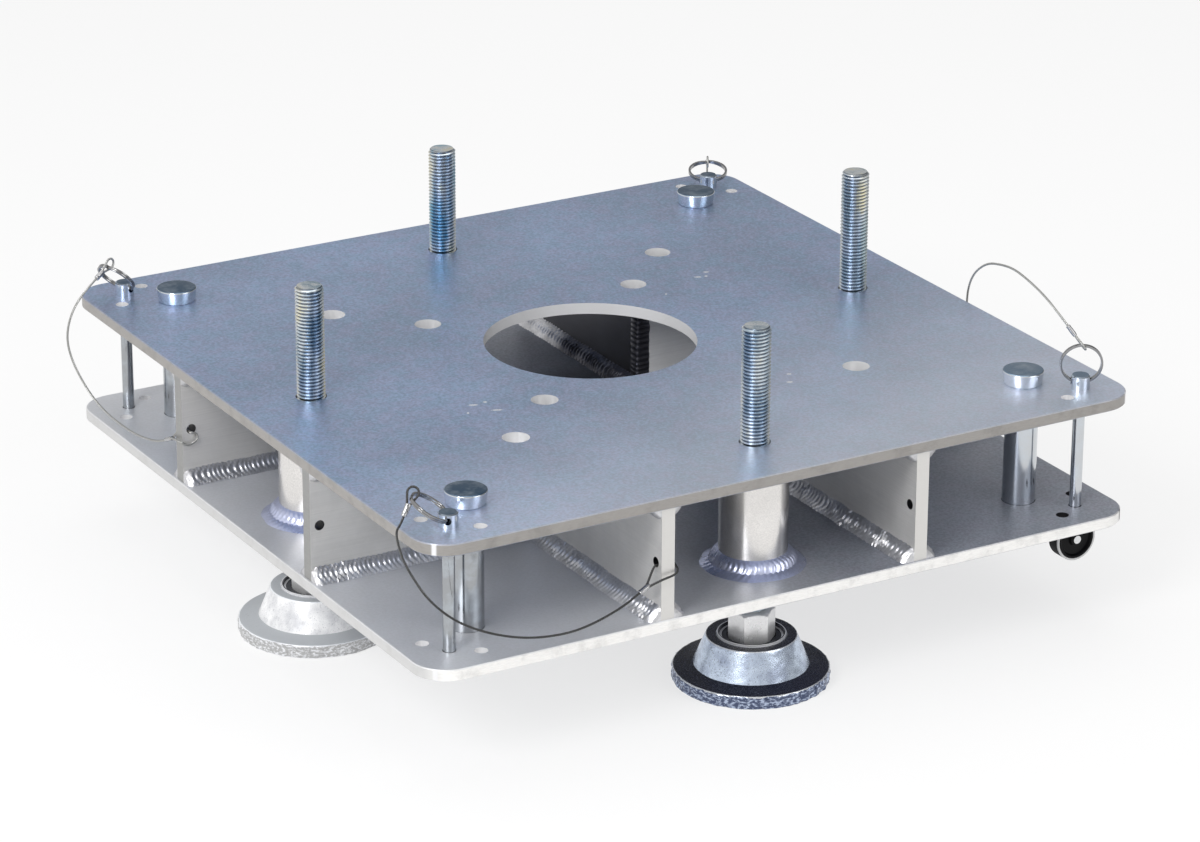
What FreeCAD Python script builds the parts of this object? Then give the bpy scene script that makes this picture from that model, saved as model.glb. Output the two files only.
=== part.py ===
import FreeCAD, Part
import os
from math import acos, cos, pi, radians, sin, sqrt, tan

from FreeCAD import Vector

# Truss base plate. Two square aluminium plates held apart by upright webs, with four screw
# jacks that level it, four anchor pins, four small locking pins on wire lanyards, and two
# transport wheels under one edge. Millimetres, +Z up. The origin is on the floor, under the
# middle of the plates, with all four feet standing on z = 0.

# Plates
PLATE_SIDE = 665.0
PLATE_T = 10.0
PLATE_GAP = 95.0
PLATE_CORNER_R = 30.0
PLATE_EDGE_EASE = 0.8
UNDERSIDE_Z = 93.0
CENTRE_HOLE_D = 182.0
TRUSS_HOLE_D = 23.0
TRUSS_SQUARE_SMALL = 204.0
TRUSS_SQUARE_LARGE = 326.0

# Upright webs and their welds
WEB_T = 12.0
WEB_SPACING = 239.0
WEB_SETBACK = 2.0
WEB_WELD_LEG = 8.0
WEB_HOLE_D = 8.0
WEB_HOLE_INSET = 8.5

# Screw jacks
JACK_INSET = 67.5
SCREW_D = 24.0
SCREW_CLEARANCE_D = 26.0
SCREW_TIP_CHAMFER = 2.0
SCREW_RISE = {"west": 97.0, "north": 95.0, "east": 107.5, "south": 99.5}
SLEEVE_OD = 57.0
SLEEVE_BORE = 41.0
NUT_SEAT_GAP = 0.05
SLEEVE_WELD_OUT = 9.5
SLEEVE_WELD_UP = 14.0
SLEEVE_TOP_WELD_LEG = 6.0
RUNNING_GAP = 0.05
END_PLAY = 0.3

# Feet
FOOT_R = 65.0
FOOT_RIM_Z = 11.5
FOOT_RIM_EASE = 1.5
CONE_FOOT_R = 47.7
CONE_FOOT_Z = 14.0
CONE_TOP_R = 37.5
CONE_TOP_Z = 39.3
RING_SEAT_R = 28.4
RING_SEAT_DEPTH = 3.1
RING_RISE = 1.4
RING_RIM_T = 1.7
RING_LIP_R = 20.3
RING_LIP_T = 1.8
COLLAR_R = 22.4
COLLAR_T = 7.6
SPIGOT_LENGTH = 10.0
HEX_FLATS = 34.0
HEX_TOP_Z = 62.0
HEX_TURN_DEG = 10.0

# Anchor pins
ANCHOR_INSET = 69.5
ANCHOR_D = 28.0
ANCHOR_FIT = 0.3
ANCHOR_HEAD_TOP_D = 35.0
ANCHOR_HEAD_LOW_D = 32.0
ANCHOR_HEAD_H = 12.0
ANCHOR_TIP_CHAMFER = 2.5
PIN_TIP_INSET = 1.0

# Locking pins, in the middle one of three index holes round each anchor pin
INDEX_RADIUS = 48.0
INDEX_ANGLES = (15.0, 45.0, 75.0)
INDEX_HOLE_D = 11.0
LOCK_D = 10.0
LOCK_HEAD_D = 16.0
LOCK_HEAD_H = 12.0
LOCK_TIP_CHAMFER = 1.5
CROSS_HOLE_D = 6.0
CROSS_HOLE_UP = 6.5

# Split rings in the locking pins
RING_OD = 36.0
RING_WIRE_T = 2.0
RING_WIDTH = 3.4
RING_GROOVE = 0.5
RING_THROW = 15.93

# Lanyards of wire rope
ROPE_D = 2.0
EYE_R = 4.5
EYE_LENGTH = 13.0
EYE_LEG_GAP = 1.15
CRIMP_D = 4.8
CRIMP_LENGTH = 10.5
CRIMP_START = 9.5
ROPE_LEAD = 13.0

# The crimp beside each web: its inner end from the web's hole, and its heading, both as
# parts out past the web's end, across to the rope's side, and up
WEB_CRIMP_AT = (7.5, 18.0, -15.5)
WEB_CRIMP_HEADING = (0.12, 0.90, -0.42)
WEB_CRIMP_LENGTH = 11.0

# The rope's loop through each web's hole: its gaps past the web's faces and end, how far it
# sags below the hole on the far side and beside the crimp, and its bends
WEB_EYE_SIDE_GAP = 3.0
WEB_EYE_END_GAP = 3.5
WEB_EYE_SLANT = 0.5
WEB_EYE_SAG_FAR = 8.0
WEB_EYE_SAG_NEAR = 10.5
WEB_EYE_BENDS = [4.0, 2.5, 5.0, 8.0]

# Transport wheels
WHEEL_D = 38.0
WHEEL_W = 14.0
TYRE_T = 4.0
TYRE_EASE = 1.0
WHEEL_INSET = 33.5
WHEEL_FACE_INSET = 33.8
WHEEL_TOP_GAP = 2.0
WHEEL_SIDE_GAP = 0.5
AXLE_D = 5.0
AXLE_LIP_D = 7.0
AXLE_LIP_T = 1.0
AXLE_HEAD_D = 12.0
AXLE_HEAD_T = 4.0
BRACKET_T = 8.0
BRACKET_W = 28.0

HALF = PLATE_SIDE / 2
JACK_RADIUS = HALF - JACK_INSET
ANCHOR_OFFSET = HALF - ANCHOR_INSET
WHEEL_X = HALF - WHEEL_INSET
WHEEL_OUTER_FACE = HALF - WHEEL_FACE_INSET
LOW_TOP_Z = UNDERSIDE_Z + PLATE_T
HIGH_LOW_Z = LOW_TOP_Z + PLATE_GAP
TOP_Z = HIGH_LOW_Z + PLATE_T
WEB_OFF = WEB_SPACING / 2
WEB_END = HALF - WEB_SETBACK
WEB_INNER = WEB_OFF - WEB_T / 2
WEB_OUTER = WEB_OFF + WEB_T / 2
WEB_HOLE_Z = LOW_TOP_Z + PLATE_GAP / 2
WEB_HOLE_AT = WEB_END - WEB_HOLE_INSET
RING_SEAT_Z = CONE_TOP_Z - RING_SEAT_DEPTH
COLLAR_TOP_Z = RING_SEAT_Z - END_PLAY
COLLAR_LOW_Z = COLLAR_TOP_Z - COLLAR_T
SOCKET_Z = COLLAR_LOW_Z - END_PLAY
PILOT_Z = SOCKET_Z - SPIGOT_LENGTH
CROSS_HOLE_Z = TOP_Z + CROSS_HOLE_UP
PIN_TIP_Z = UNDERSIDE_Z + PIN_TIP_INSET
RING_MID_R = (RING_OD - RING_WIRE_T) / 2
RING_TIP = RING_THROW + RING_MID_R
WHEEL_Z = UNDERSIDE_Z - WHEEL_TOP_GAP - WHEEL_D / 2
LOCK_OFFSET = ANCHOR_OFFSET + INDEX_RADIUS * cos(radians(45.0))

UP = Vector(0, 0, 1)
ORIGIN = Vector(0, 0, 0)

# Quarter turns that take the back corner's webs and holes to the other corners
CORNER_TURNS = {"back": 0.0, "left": 90.0, "front": 180.0, "right": 270.0}
CORNER_SIGNS = {"back": (1, 1), "left": (-1, 1), "front": (-1, -1), "right": (1, -1)}
JACK_SPOTS = {
    "east": (JACK_RADIUS, 0.0),
    "north": (0.0, JACK_RADIUS),
    "west": (-JACK_RADIUS, 0.0),
    "south": (0.0, -JACK_RADIUS),
}
WHEEL_SIDES = {"right": -1.0, "back": 1.0}

# How each split ring leans out of its pin head (compass angle and slope of its far side),
# the way its rope eye points, as parts of the lean and of up and across, and how far the
# eye has slid along the wire: pulled tight (positive) or pushed up by the stiff rope.
RING_LEAN = {
    "front": {"compass": 149.9, "slope": 32.0, "out": 0.35, "rise": -0.79, "side": -0.50, "slip": -3.6},
    "left": {"compass": 203.7, "slope": 50.0, "out": 0.902, "rise": -0.432, "side": 0.0, "slip": -3.9},
    "right": {"compass": 60.0, "slope": 97.0, "out": 0.30, "rise": 0.74, "side": -0.60, "slip": 0.3},
    "back": {"compass": 59.9, "slope": 12.0, "out": 0.95, "rise": -0.312, "side": 0.0, "slip": -3.8},
}

# The side of its web that each lanyard leaves from: its corner's pocket, or the jack's bay
WEB_EYE_SIDE = {"back": 1.0, "left": 1.0, "front": 1.0, "right": -1.0}

# Middle points of each lanyard's route, between the straight lead out of the crimp at its
# ring and the straight lead into the crimp at its web
LANYARD_ROUTES = {
    "front": [
        (-341.0, -302.0, 202.0), (-343.0, -314.5, 193.5), (-342.5, -326.0, 184.0),
        (-338.5, -336.0, 173.5), (-330.0, -342.5, 162.5), (-317.5, -346.5, 151.5),
        (-301.0, -348.5, 141.5), (-281.0, -349.5, 132.5), (-259.0, -348.5, 125.0),
        (-236.0, -346.0, 120.0), (-212.0, -342.5, 117.5), (-191.0, -339.0, 119.0),
        (-173.0, -335.5, 122.0),
    ],
    "left": [
        (-352.0, 277.5, 215.0), (-358.0, 280.5, 198.5), (-359.0, 283.5, 181.5),
        (-356.5, 281.5, 165.0), (-353.0, 272.0, 150.0), (-350.0, 255.5, 137.5),
        (-347.0, 234.0, 129.0), (-343.0, 210.0, 124.5), (-339.5, 191.0, 122.5),
        (-335.5, 173.5, 123.0),
    ],
    "right": [
        (283.0, -262.0, 280.0), (288.0, -232.5, 283.0), (296.0, -198.0, 282.0),
        (306.0, -164.0, 273.5), (318.0, -128.5, 261.5), (330.0, -95.5, 243.0),
        (338.0, -75.5, 227.0), (343.0, -64.0, 212.0), (346.5, -58.0, 198.0),
        (350.0, -53.0, 181.0), (351.5, -50.0, 165.0), (350.0, -51.0, 150.0),
        (345.5, -56.0, 137.5), (339.0, -67.0, 128.5),
    ],
    "back": [
        (331.5, 355.0, 199.5), (334.0, 361.5, 186.5), (332.0, 366.0, 172.5),
        (324.5, 367.0, 158.5), (311.0, 364.5, 146.5), (293.0, 360.0, 137.0),
        (271.0, 354.5, 129.5), (247.0, 349.5, 124.0), (221.0, 344.5, 120.5),
        (197.0, 340.0, 119.5), (176.0, 336.0, 121.5),
    ],
}


def cylinder(radius, height, base, axis=UP):
    return Part.makeCylinder(radius, height, base, axis)


def turned(points, centre=ORIGIN):
    """A solid turned from a closed outline of (radius, height) points."""
    corners = [Vector(r, 0, z) for r, z in points]
    face = Part.Face(Part.makePolygon(corners + corners[:1]))
    solid = face.revolve(ORIGIN, UP, 360)
    solid.translate(centre)
    return solid


def prism(corners, sweep):
    """A solid pushed along a vector from a flat outline of points."""
    return Part.Face(Part.makePolygon(corners + corners[:1])).extrude(sweep)


def quarter_turned(shape, degrees_about_z):
    copy = shape.copy()
    copy.rotate(ORIGIN, UP, degrees_about_z)
    return copy


def framed(shape, x_axis, y_axis, z_axis, origin):
    """Moves a shape drawn at the origin into the frame of three unit axes."""
    matrix = FreeCAD.Matrix(
        x_axis.x, y_axis.x, z_axis.x, origin.x,
        x_axis.y, y_axis.y, z_axis.y, origin.y,
        x_axis.z, y_axis.z, z_axis.z, origin.z,
        0, 0, 0, 1,
    )
    copy = shape.copy()
    copy.Placement = FreeCAD.Placement(matrix).multiply(copy.Placement)
    return copy


def unit(vector):
    return Vector(vector).normalize()


def rounded_path(points, radii):
    """Straight runs through the points, joined by tangent arcs of the given radii."""
    edges = []
    start = points[0]
    for before, corner, after, radius in zip(points, points[1:], points[2:], radii):
        into = unit(corner - before)
        out = unit(after - corner)
        half_turn = acos(max(-1.0, min(1.0, into.dot(out)))) / 2
        reach = radius * tan(half_turn)
        first = corner - into * reach
        last = corner + out * reach
        middle = corner + unit(out - into) * (radius / cos(half_turn) - radius)
        edges.append(Part.makeLine(start, first))
        edges.append(Part.Arc(first, middle, last).toShape())
        start = last
    edges.append(Part.makeLine(start, points[-1]))
    return Part.Wire(edges)


def even_radii(points):
    """The largest arc that each corner's two runs allow."""
    radii = []
    for before, corner, after in zip(points, points[1:], points[2:]):
        into = corner - before
        out = after - corner
        half_turn = into.getAngle(out) / 2
        radii.append(0.45 * min(into.Length, out.Length) / tan(half_turn))
    return radii


def round_tube(path, radius):
    """A round bar swept along a wire of lines and tangent arcs."""
    first = path.OrderedEdges[0]
    start = first.valueAt(first.FirstParameter)
    heading = first.tangentAt(first.FirstParameter)
    section = Part.Wire([Part.makeCircle(radius, start, heading)])
    return path.makePipeShell([section], True, False)


def square_outline():
    """The plates' outline: a square with round corners."""
    straight = HALF - PLATE_CORNER_R
    diagonal = straight + PLATE_CORNER_R * cos(radians(45))
    edges = []
    for turn in CORNER_TURNS.values():
        side = Part.makeLine(Vector(HALF, -straight, 0), Vector(HALF, straight, 0))
        corner = Part.Arc(
            Vector(HALF, straight, 0),
            Vector(diagonal, diagonal, 0),
            Vector(straight, HALF, 0),
        ).toShape()
        edges += [quarter_turned(side, turn), quarter_turned(corner, turn)]
    return Part.Wire(edges)


def blank_plate(low_z):
    """A plate with eased edges and no holes."""
    plate = Part.Face(square_outline()).extrude(Vector(0, 0, PLATE_T))
    rims = []
    for edge in plate.Edges:
        if edge.BoundBox.ZLength < PLATE_T / 2:
            rims.append(edge)
    plate = plate.makeChamfer(PLATE_EDGE_EASE, rims)
    plate.translate(Vector(0, 0, low_z))
    return plate


def drill(plate, spots, diameter, low_z):
    """Cuts one round hole through the plate at each spot."""
    cutters = [cylinder(diameter / 2, PLATE_T + 2, Vector(x, y, low_z - 1)) for x, y in spots]
    return plate.cut(Part.makeCompound(cutters))


def square_spots(side):
    half = side / 2
    return [(sx * half, sy * half) for sx, sy in CORNER_SIGNS.values()]


def index_spots():
    spots = []
    for sx, sy in CORNER_SIGNS.values():
        for angle in INDEX_ANGLES:
            x = ANCHOR_OFFSET + INDEX_RADIUS * cos(radians(angle))
            y = ANCHOR_OFFSET + INDEX_RADIUS * sin(radians(angle))
            spots.append((sx * x, sy * y))
    return spots


def drill_shared(plate, low_z):
    """The holes that both plates have: jacks, anchor pins and index holes."""
    plate = drill(plate, JACK_SPOTS.values(), SCREW_CLEARANCE_D, low_z)
    plate = drill(plate, square_spots(2 * ANCHOR_OFFSET), ANCHOR_D + 2 * ANCHOR_FIT, low_z)
    return drill(plate, index_spots(), INDEX_HOLE_D, low_z)


def top_plate():
    plate = drill_shared(blank_plate(HIGH_LOW_Z), HIGH_LOW_Z)
    plate = drill(plate, [(0, 0)], CENTRE_HOLE_D, HIGH_LOW_Z)
    for side in (TRUSS_SQUARE_SMALL, TRUSS_SQUARE_LARGE):
        plate = drill(plate, square_spots(side), TRUSS_HOLE_D, HIGH_LOW_Z)
    return plate


def bottom_plate():
    return drill_shared(blank_plate(UNDERSIDE_Z), UNDERSIDE_Z)


def long_web():
    """The back corner's web along Y, whose hole near its end ties the lanyard."""
    length = WEB_END - WEB_INNER
    web = Part.makeBox(WEB_T, length, PLATE_GAP, Vector(WEB_INNER, WEB_INNER, LOW_TOP_Z))
    start = Vector(WEB_INNER - 1, WEB_HOLE_AT, WEB_HOLE_Z)
    return web.cut(cylinder(WEB_HOLE_D / 2, WEB_T + 2, start, Vector(1, 0, 0)))


def butt_web():
    """The back corner's web along X, which butts against the long one."""
    length = WEB_END - WEB_OUTER
    web = Part.makeBox(length, WEB_T, PLATE_GAP, Vector(WEB_OUTER, WEB_INNER, LOW_TOP_Z))
    start = Vector(WEB_HOLE_AT, WEB_INNER - 1, WEB_HOLE_Z)
    return web.cut(cylinder(WEB_HOLE_D / 2, WEB_T + 2, start, Vector(0, 1, 0)))


def bead(start, run, leg_a, leg_b):
    """A fillet weld: a three-cornered bar with its legs on the two faces it joins."""
    return prism([start, start + leg_a, start + leg_b], run)


def pocket_weld():
    """The weld inside a corner's L: along both feet, both heads and up the corner."""
    corner = Vector(WEB_OUTER, WEB_OUTER, 0)
    run = WEB_END - WEB_OUTER
    leg = WEB_WELD_LEG
    bars = [bead(corner + UP * LOW_TOP_Z, UP * PLATE_GAP, Vector(leg, 0, 0), Vector(0, leg, 0))]
    for z, rise in ((LOW_TOP_Z, leg), (HIGH_LOW_Z, -leg)):
        at = corner + UP * z
        bars.append(bead(at, Vector(0, run, 0), Vector(leg, 0, 0), UP * rise))
        bars.append(bead(at, Vector(run, 0, 0), Vector(0, leg, 0), UP * rise))
    return bars[0].multiFuse(bars[1:]).removeSplitter()


def bay_weld(z, rise):
    """The weld outside a corner's L, wrapped round its nose."""
    nose = Vector(WEB_INNER, WEB_INNER, z)
    run = WEB_END - WEB_INNER
    leg = WEB_WELD_LEG
    along_y = bead(nose, Vector(0, run, 0), Vector(-leg, 0, 0), UP * rise)
    along_x = bead(nose, Vector(run, 0, 0), Vector(0, -leg, 0), UP * rise)
    wrap = turned([(0, 0), (leg, 0), (0, rise)], nose)
    return wrap.multiFuse([along_y, along_x])


def web_welds():
    """Every bead that joins the webs to the plates and to each other."""
    welds = [
        pocket_weld(),
        bay_weld(LOW_TOP_Z, WEB_WELD_LEG),
        bay_weld(HIGH_LOW_Z, -WEB_WELD_LEG),
    ]
    welds = [weld.cut(long_web()).cut(butt_web()) for weld in welds]
    copies = []
    for turn in CORNER_TURNS.values():
        copies += [quarter_turned(weld, turn) for weld in welds]
    return Part.makeCompound(copies)


def sleeve(x, y):
    """The bright tube that carries a jack nut between the plates."""
    base = Vector(x, y, LOW_TOP_Z)
    tube = cylinder(SLEEVE_OD / 2, PLATE_GAP, base)
    return tube.cut(cylinder(SLEEVE_BORE / 2, PLATE_GAP, base))


def jack_nut(x, y):
    """The long steel nut inside a sleeve."""
    base = Vector(x, y, LOW_TOP_Z)
    body = cylinder(SLEEVE_BORE / 2 - NUT_SEAT_GAP, PLATE_GAP, base)
    return body.cut(cylinder(SCREW_D / 2 + RUNNING_GAP, PLATE_GAP, base))


def sleeve_weld(x, y):
    """The heavy ring of weld round a sleeve's foot, and the lighter one round its head."""
    r = SLEEVE_OD / 2
    low = [(r, LOW_TOP_Z), (r + SLEEVE_WELD_OUT, LOW_TOP_Z), (r, LOW_TOP_Z + SLEEVE_WELD_UP)]
    leg = SLEEVE_TOP_WELD_LEG
    high = [(r, HIGH_LOW_Z), (r + leg, HIGH_LOW_Z), (r, HIGH_LOW_Z - leg)]
    return [turned(outline, Vector(x, y, 0)) for outline in (low, high)]


def sleeve_welds():
    rings = []
    for x, y in JACK_SPOTS.values():
        rings += sleeve_weld(x, y)
    return Part.makeCompound(rings)


def jack_screw(x, y, rise):
    """A levelling screw: spigot and collar in the foot, hexagon for a spanner, threaded bar."""
    r = SCREW_D / 2
    tip = TOP_Z + rise
    bar = turned([
        (0, COLLAR_LOW_Z - SPIGOT_LENGTH + END_PLAY), (r, COLLAR_LOW_Z - SPIGOT_LENGTH + END_PLAY),
        (r, COLLAR_LOW_Z), (COLLAR_R, COLLAR_LOW_Z), (COLLAR_R, COLLAR_TOP_Z),
        (r, COLLAR_TOP_Z), (r, tip - SCREW_TIP_CHAMFER), (r - SCREW_TIP_CHAMFER, tip), (0, tip),
    ])
    corner_r = HEX_FLATS / 2 / cos(radians(30))
    corners = []
    for step in range(6):
        angle = radians(HEX_TURN_DEG + 30 + 60 * step)
        corners.append(Vector(corner_r * cos(angle), corner_r * sin(angle), COLLAR_TOP_Z))
    hexagon = prism(corners, UP * (HEX_TOP_Z - COLLAR_TOP_Z))
    screw = bar.fuse(hexagon).removeSplitter()
    screw.translate(Vector(x, y, 0))
    return screw


def foot_pad(x, y):
    """A cast foot: a broad disc, a cone and the socket that the screw turns in."""
    pilot_r = SCREW_D / 2 + RUNNING_GAP
    return turned([
        (0, 0), (FOOT_R - FOOT_RIM_EASE, 0), (FOOT_R, FOOT_RIM_EASE),
        (FOOT_R, FOOT_RIM_Z - FOOT_RIM_EASE), (FOOT_R - FOOT_RIM_EASE, FOOT_RIM_Z),
        (CONE_FOOT_R, CONE_FOOT_Z), (CONE_TOP_R, CONE_TOP_Z),
        (RING_SEAT_R + RUNNING_GAP, CONE_TOP_Z), (RING_SEAT_R + RUNNING_GAP, RING_SEAT_Z),
        (COLLAR_R + END_PLAY, RING_SEAT_Z), (COLLAR_R + END_PLAY, SOCKET_Z),
        (pilot_r, SOCKET_Z), (pilot_r, PILOT_Z), (0, PILOT_Z),
    ], Vector(x, y, 0))


def foot_ring(x, y):
    """The bright ring that keeps the screw's collar in the foot."""
    top = CONE_TOP_Z + RING_RISE
    lip = RING_SEAT_Z + RING_LIP_T
    rim_r = RING_SEAT_R - RING_RIM_T
    return turned([
        (RING_LIP_R, RING_SEAT_Z), (RING_SEAT_R, RING_SEAT_Z), (RING_SEAT_R, top),
        (rim_r, top), (rim_r, lip), (RING_LIP_R, lip),
    ], Vector(x, y, 0))


def anchor_pin(sx, sy):
    """A heavy pin through both plates, with a tapered head resting on the top one."""
    r = ANCHOR_D / 2
    top = TOP_Z + ANCHOR_HEAD_H
    return turned([
        (0, PIN_TIP_Z), (r - ANCHOR_TIP_CHAMFER, PIN_TIP_Z), (r, PIN_TIP_Z + ANCHOR_TIP_CHAMFER),
        (r, TOP_Z), (ANCHOR_HEAD_LOW_D / 2, TOP_Z), (ANCHOR_HEAD_TOP_D / 2, top - 1.0),
        (ANCHOR_HEAD_TOP_D / 2 - 1.0, top), (0, top),
    ], Vector(sx * ANCHOR_OFFSET, sy * ANCHOR_OFFSET, 0))


class RingPose:
    """Where a corner's split ring and its rope eye lie."""

    def __init__(self, corner):
        sx, sy = CORNER_SIGNS[corner]
        lean = RING_LEAN[corner]
        compass = radians(lean["compass"])
        slope = radians(lean["slope"])
        self.hole = Vector(sx * LOCK_OFFSET, sy * LOCK_OFFSET, CROSS_HOLE_Z)
        self.out = Vector(cos(compass), sin(compass), 0)
        self.hinge = self.out.cross(UP)
        self.far = self.out * cos(slope) + UP * sin(slope)
        self.tip = self.hole + self.far * RING_TIP
        self.heading = unit(
            self.out * lean["out"] + UP * lean["rise"] + self.hinge * lean["side"]
        )
        self.eye = self.tip + self.heading * lean["slip"]
        self.across = unit(self.hinge.cross(self.heading))
        self.rope_end = self.eye + self.heading * (CRIMP_START + CRIMP_LENGTH)


def lock_pin(corner):
    """A small pin with a cross hole in its head for the split ring."""
    pose = RingPose(corner)
    r = LOCK_D / 2
    head_r = LOCK_HEAD_D / 2
    top = TOP_Z + LOCK_HEAD_H
    pin = turned([
        (0, PIN_TIP_Z), (r - LOCK_TIP_CHAMFER, PIN_TIP_Z), (r, PIN_TIP_Z + LOCK_TIP_CHAMFER),
        (r, TOP_Z), (head_r, TOP_Z), (head_r, top - 1.0), (head_r - 1.0, top), (0, top),
    ], Vector(pose.hole.x, pose.hole.y, 0))
    hole = cylinder(
        CROSS_HOLE_D / 2, LOCK_HEAD_D + 2, pose.hole - pose.hinge * (LOCK_HEAD_D / 2 + 1), pose.hinge
    )
    return pin.cut(hole)


def split_ring(corner):
    """A key ring: two turns of flat wire side by side, with a groove where they meet."""
    pose = RingPose(corner)
    outer = RING_OD / 2
    inner = outer - RING_WIRE_T
    half = RING_WIDTH / 2
    groove = RING_GROOVE
    ring = turned([
        (inner, -half), (outer, -half), (outer, -groove / 2), (outer - groove, 0),
        (outer, groove / 2), (outer, half), (inner, half),
    ])
    centre = pose.hole + pose.far * RING_THROW
    return framed(ring, pose.hinge, pose.far, pose.hinge.cross(pose.far), centre)


def rope_eye(corner):
    """The rope's loop round the split ring, closed by a crimp."""
    pose = RingPose(corner)
    reach = EYE_R * EYE_R / EYE_LENGTH
    half_width = EYE_R * sqrt(1 - (EYE_R / EYE_LENGTH) ** 2)
    taper = half_width / (EYE_LENGTH - reach)
    leg_end = EYE_LENGTH - EYE_LEG_GAP / taper

    def spot(along, aside):
        return pose.eye + pose.heading * along + pose.across * aside

    edges = [
        Part.makeLine(spot(leg_end, EYE_LEG_GAP), spot(reach, half_width)),
        Part.Arc(spot(reach, half_width), spot(-EYE_R, 0), spot(reach, -half_width)).toShape(),
        Part.makeLine(spot(reach, -half_width), spot(leg_end, -EYE_LEG_GAP)),
    ]
    loop = round_tube(Part.Wire(edges), ROPE_D / 2)
    crimp = cylinder(CRIMP_D / 2, CRIMP_LENGTH, spot(CRIMP_START, 0), pose.heading)
    return loop.fuse(crimp)


def web_eye_frame(corner):
    """Axes at a web's lanyard hole: out past the web's end, and across to the rope's side."""
    turn = CORNER_TURNS[corner]
    turner = FreeCAD.Rotation(UP, turn)
    hole = turner.multVec(Vector(WEB_OFF, WEB_HOLE_AT, WEB_HOLE_Z))
    side = WEB_EYE_SIDE[corner]
    return hole, turner.multVec(Vector(0, 1, 0)), turner.multVec(Vector(side, 0, 0))


def web_rope_end(corner):
    """The rope's last point, at the outer end of the crimp beside the web."""
    hole, out, across = web_eye_frame(corner)
    along, aside, rise = WEB_CRIMP_AT
    start = hole + out * along + across * aside + UP * rise
    a, b, c = WEB_CRIMP_HEADING
    heading = unit(out * a + across * b + UP * c)
    return start + heading * (WEB_CRIMP_LENGTH - ROPE_D), start, heading


def web_eye(corner):
    """The rope's loop through the web's hole and round the web's end, with its crimp."""
    hole, out, across = web_eye_frame(corner)
    _, start, heading = web_rope_end(corner)
    beside = WEB_T / 2 + WEB_EYE_SIDE_GAP
    beyond = WEB_HOLE_INSET + WEB_EYE_END_GAP
    slack = (WEB_HOLE_D / 2 - ROPE_D / 2 - END_PLAY) * cos(radians(45))
    sideways = unit(heading.cross(UP)) * EYE_LEG_GAP

    def spot(along, aside, rise):
        return hole + out * along + across * aside + UP * rise

    points = [
        start - sideways,
        spot(slack, beside, -slack),
        spot(slack, -beside, -slack),
        spot(beyond, -beside, -WEB_EYE_SAG_FAR),
        spot(beyond + WEB_EYE_SLANT, beside, -WEB_EYE_SAG_NEAR),
        start + sideways,
    ]
    if (points[0] - points[1]).Length > (points[-1] - points[1]).Length:
        points[0], points[-1] = points[-1], points[0]
    loop = round_tube(rounded_path(points, WEB_EYE_BENDS), ROPE_D / 2)
    crimp = cylinder(
        CRIMP_D / 2, WEB_CRIMP_LENGTH, start - heading * ROPE_D, heading
    )
    return loop.fuse(crimp)


def web_eyes():
    return Part.makeCompound([web_eye(corner) for corner in CORNER_TURNS])


def lanyard_points(corner):
    """The whole route, square to the crimp at each end."""
    pose = RingPose(corner)
    last, _, heading = web_rope_end(corner)
    middle = [Vector(*point) for point in LANYARD_ROUTES[corner]]
    first_lead = pose.rope_end + pose.heading * ROPE_LEAD
    last_lead = last + heading * ROPE_LEAD
    return [pose.rope_end, first_lead] + middle + [last_lead, last]


def lanyard(corner):
    """The free rope between the two crimps."""
    points = lanyard_points(corner)
    path = rounded_path(points, even_radii(points))
    tube = round_tube(path, ROPE_D / 2)
    section = pi * (ROPE_D / 2) ** 2
    if abs(tube.Volume / (section * path.Length) - 1) > 0.01:
        print("uneven tube:", corner)
    print(corner, "lanyard", round(path.Length, 1), "mm")
    return tube


def wheel_tyre(side):
    """The grey tread of a transport wheel."""
    low_y = side * (WHEEL_OUTER_FACE - WHEEL_W / 2) - WHEEL_W / 2
    r = WHEEL_D / 2
    hub_r = r - TYRE_T
    tread = turned([
        (hub_r, 0), (r - TYRE_EASE, 0), (r, TYRE_EASE),
        (r, WHEEL_W - TYRE_EASE), (r - TYRE_EASE, WHEEL_W), (hub_r, WHEEL_W),
    ])
    along = Vector(0, 1, 0)
    return framed(tread, UP, Vector(1, 0, 0), along, Vector(WHEEL_X, low_y, WHEEL_Z))


def wheel_hub(side):
    """The black centre of a transport wheel, which runs on its axle."""
    low_y = side * (WHEEL_OUTER_FACE - WHEEL_W / 2) - WHEEL_W / 2
    base = Vector(WHEEL_X, low_y, WHEEL_Z)
    hub = cylinder(WHEEL_D / 2 - TYRE_T, WHEEL_W, base, Vector(0, 1, 0))
    return hub.cut(cylinder(AXLE_D / 2 + RUNNING_GAP, WHEEL_W, base, Vector(0, 1, 0)))


def wheel_bracket(side):
    """The lug under the plate, inboard of a wheel, that holds its axle."""
    outer_y = WHEEL_OUTER_FACE - WHEEL_W - WHEEL_SIDE_GAP
    low_y = side * (outer_y - BRACKET_T / 2) - BRACKET_T / 2
    half = BRACKET_W / 2
    along = Vector(0, 1, 0)
    block = Part.makeBox(
        BRACKET_W, BRACKET_T, UNDERSIDE_Z - WHEEL_Z, Vector(WHEEL_X - half, low_y, WHEEL_Z)
    )
    nose = cylinder(half, BRACKET_T, Vector(WHEEL_X, low_y, WHEEL_Z), along)
    bore = cylinder(AXLE_D / 2 + RUNNING_GAP, BRACKET_T, Vector(WHEEL_X, low_y, WHEEL_Z), along)
    return block.fuse(nose).removeSplitter().cut(bore)


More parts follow.
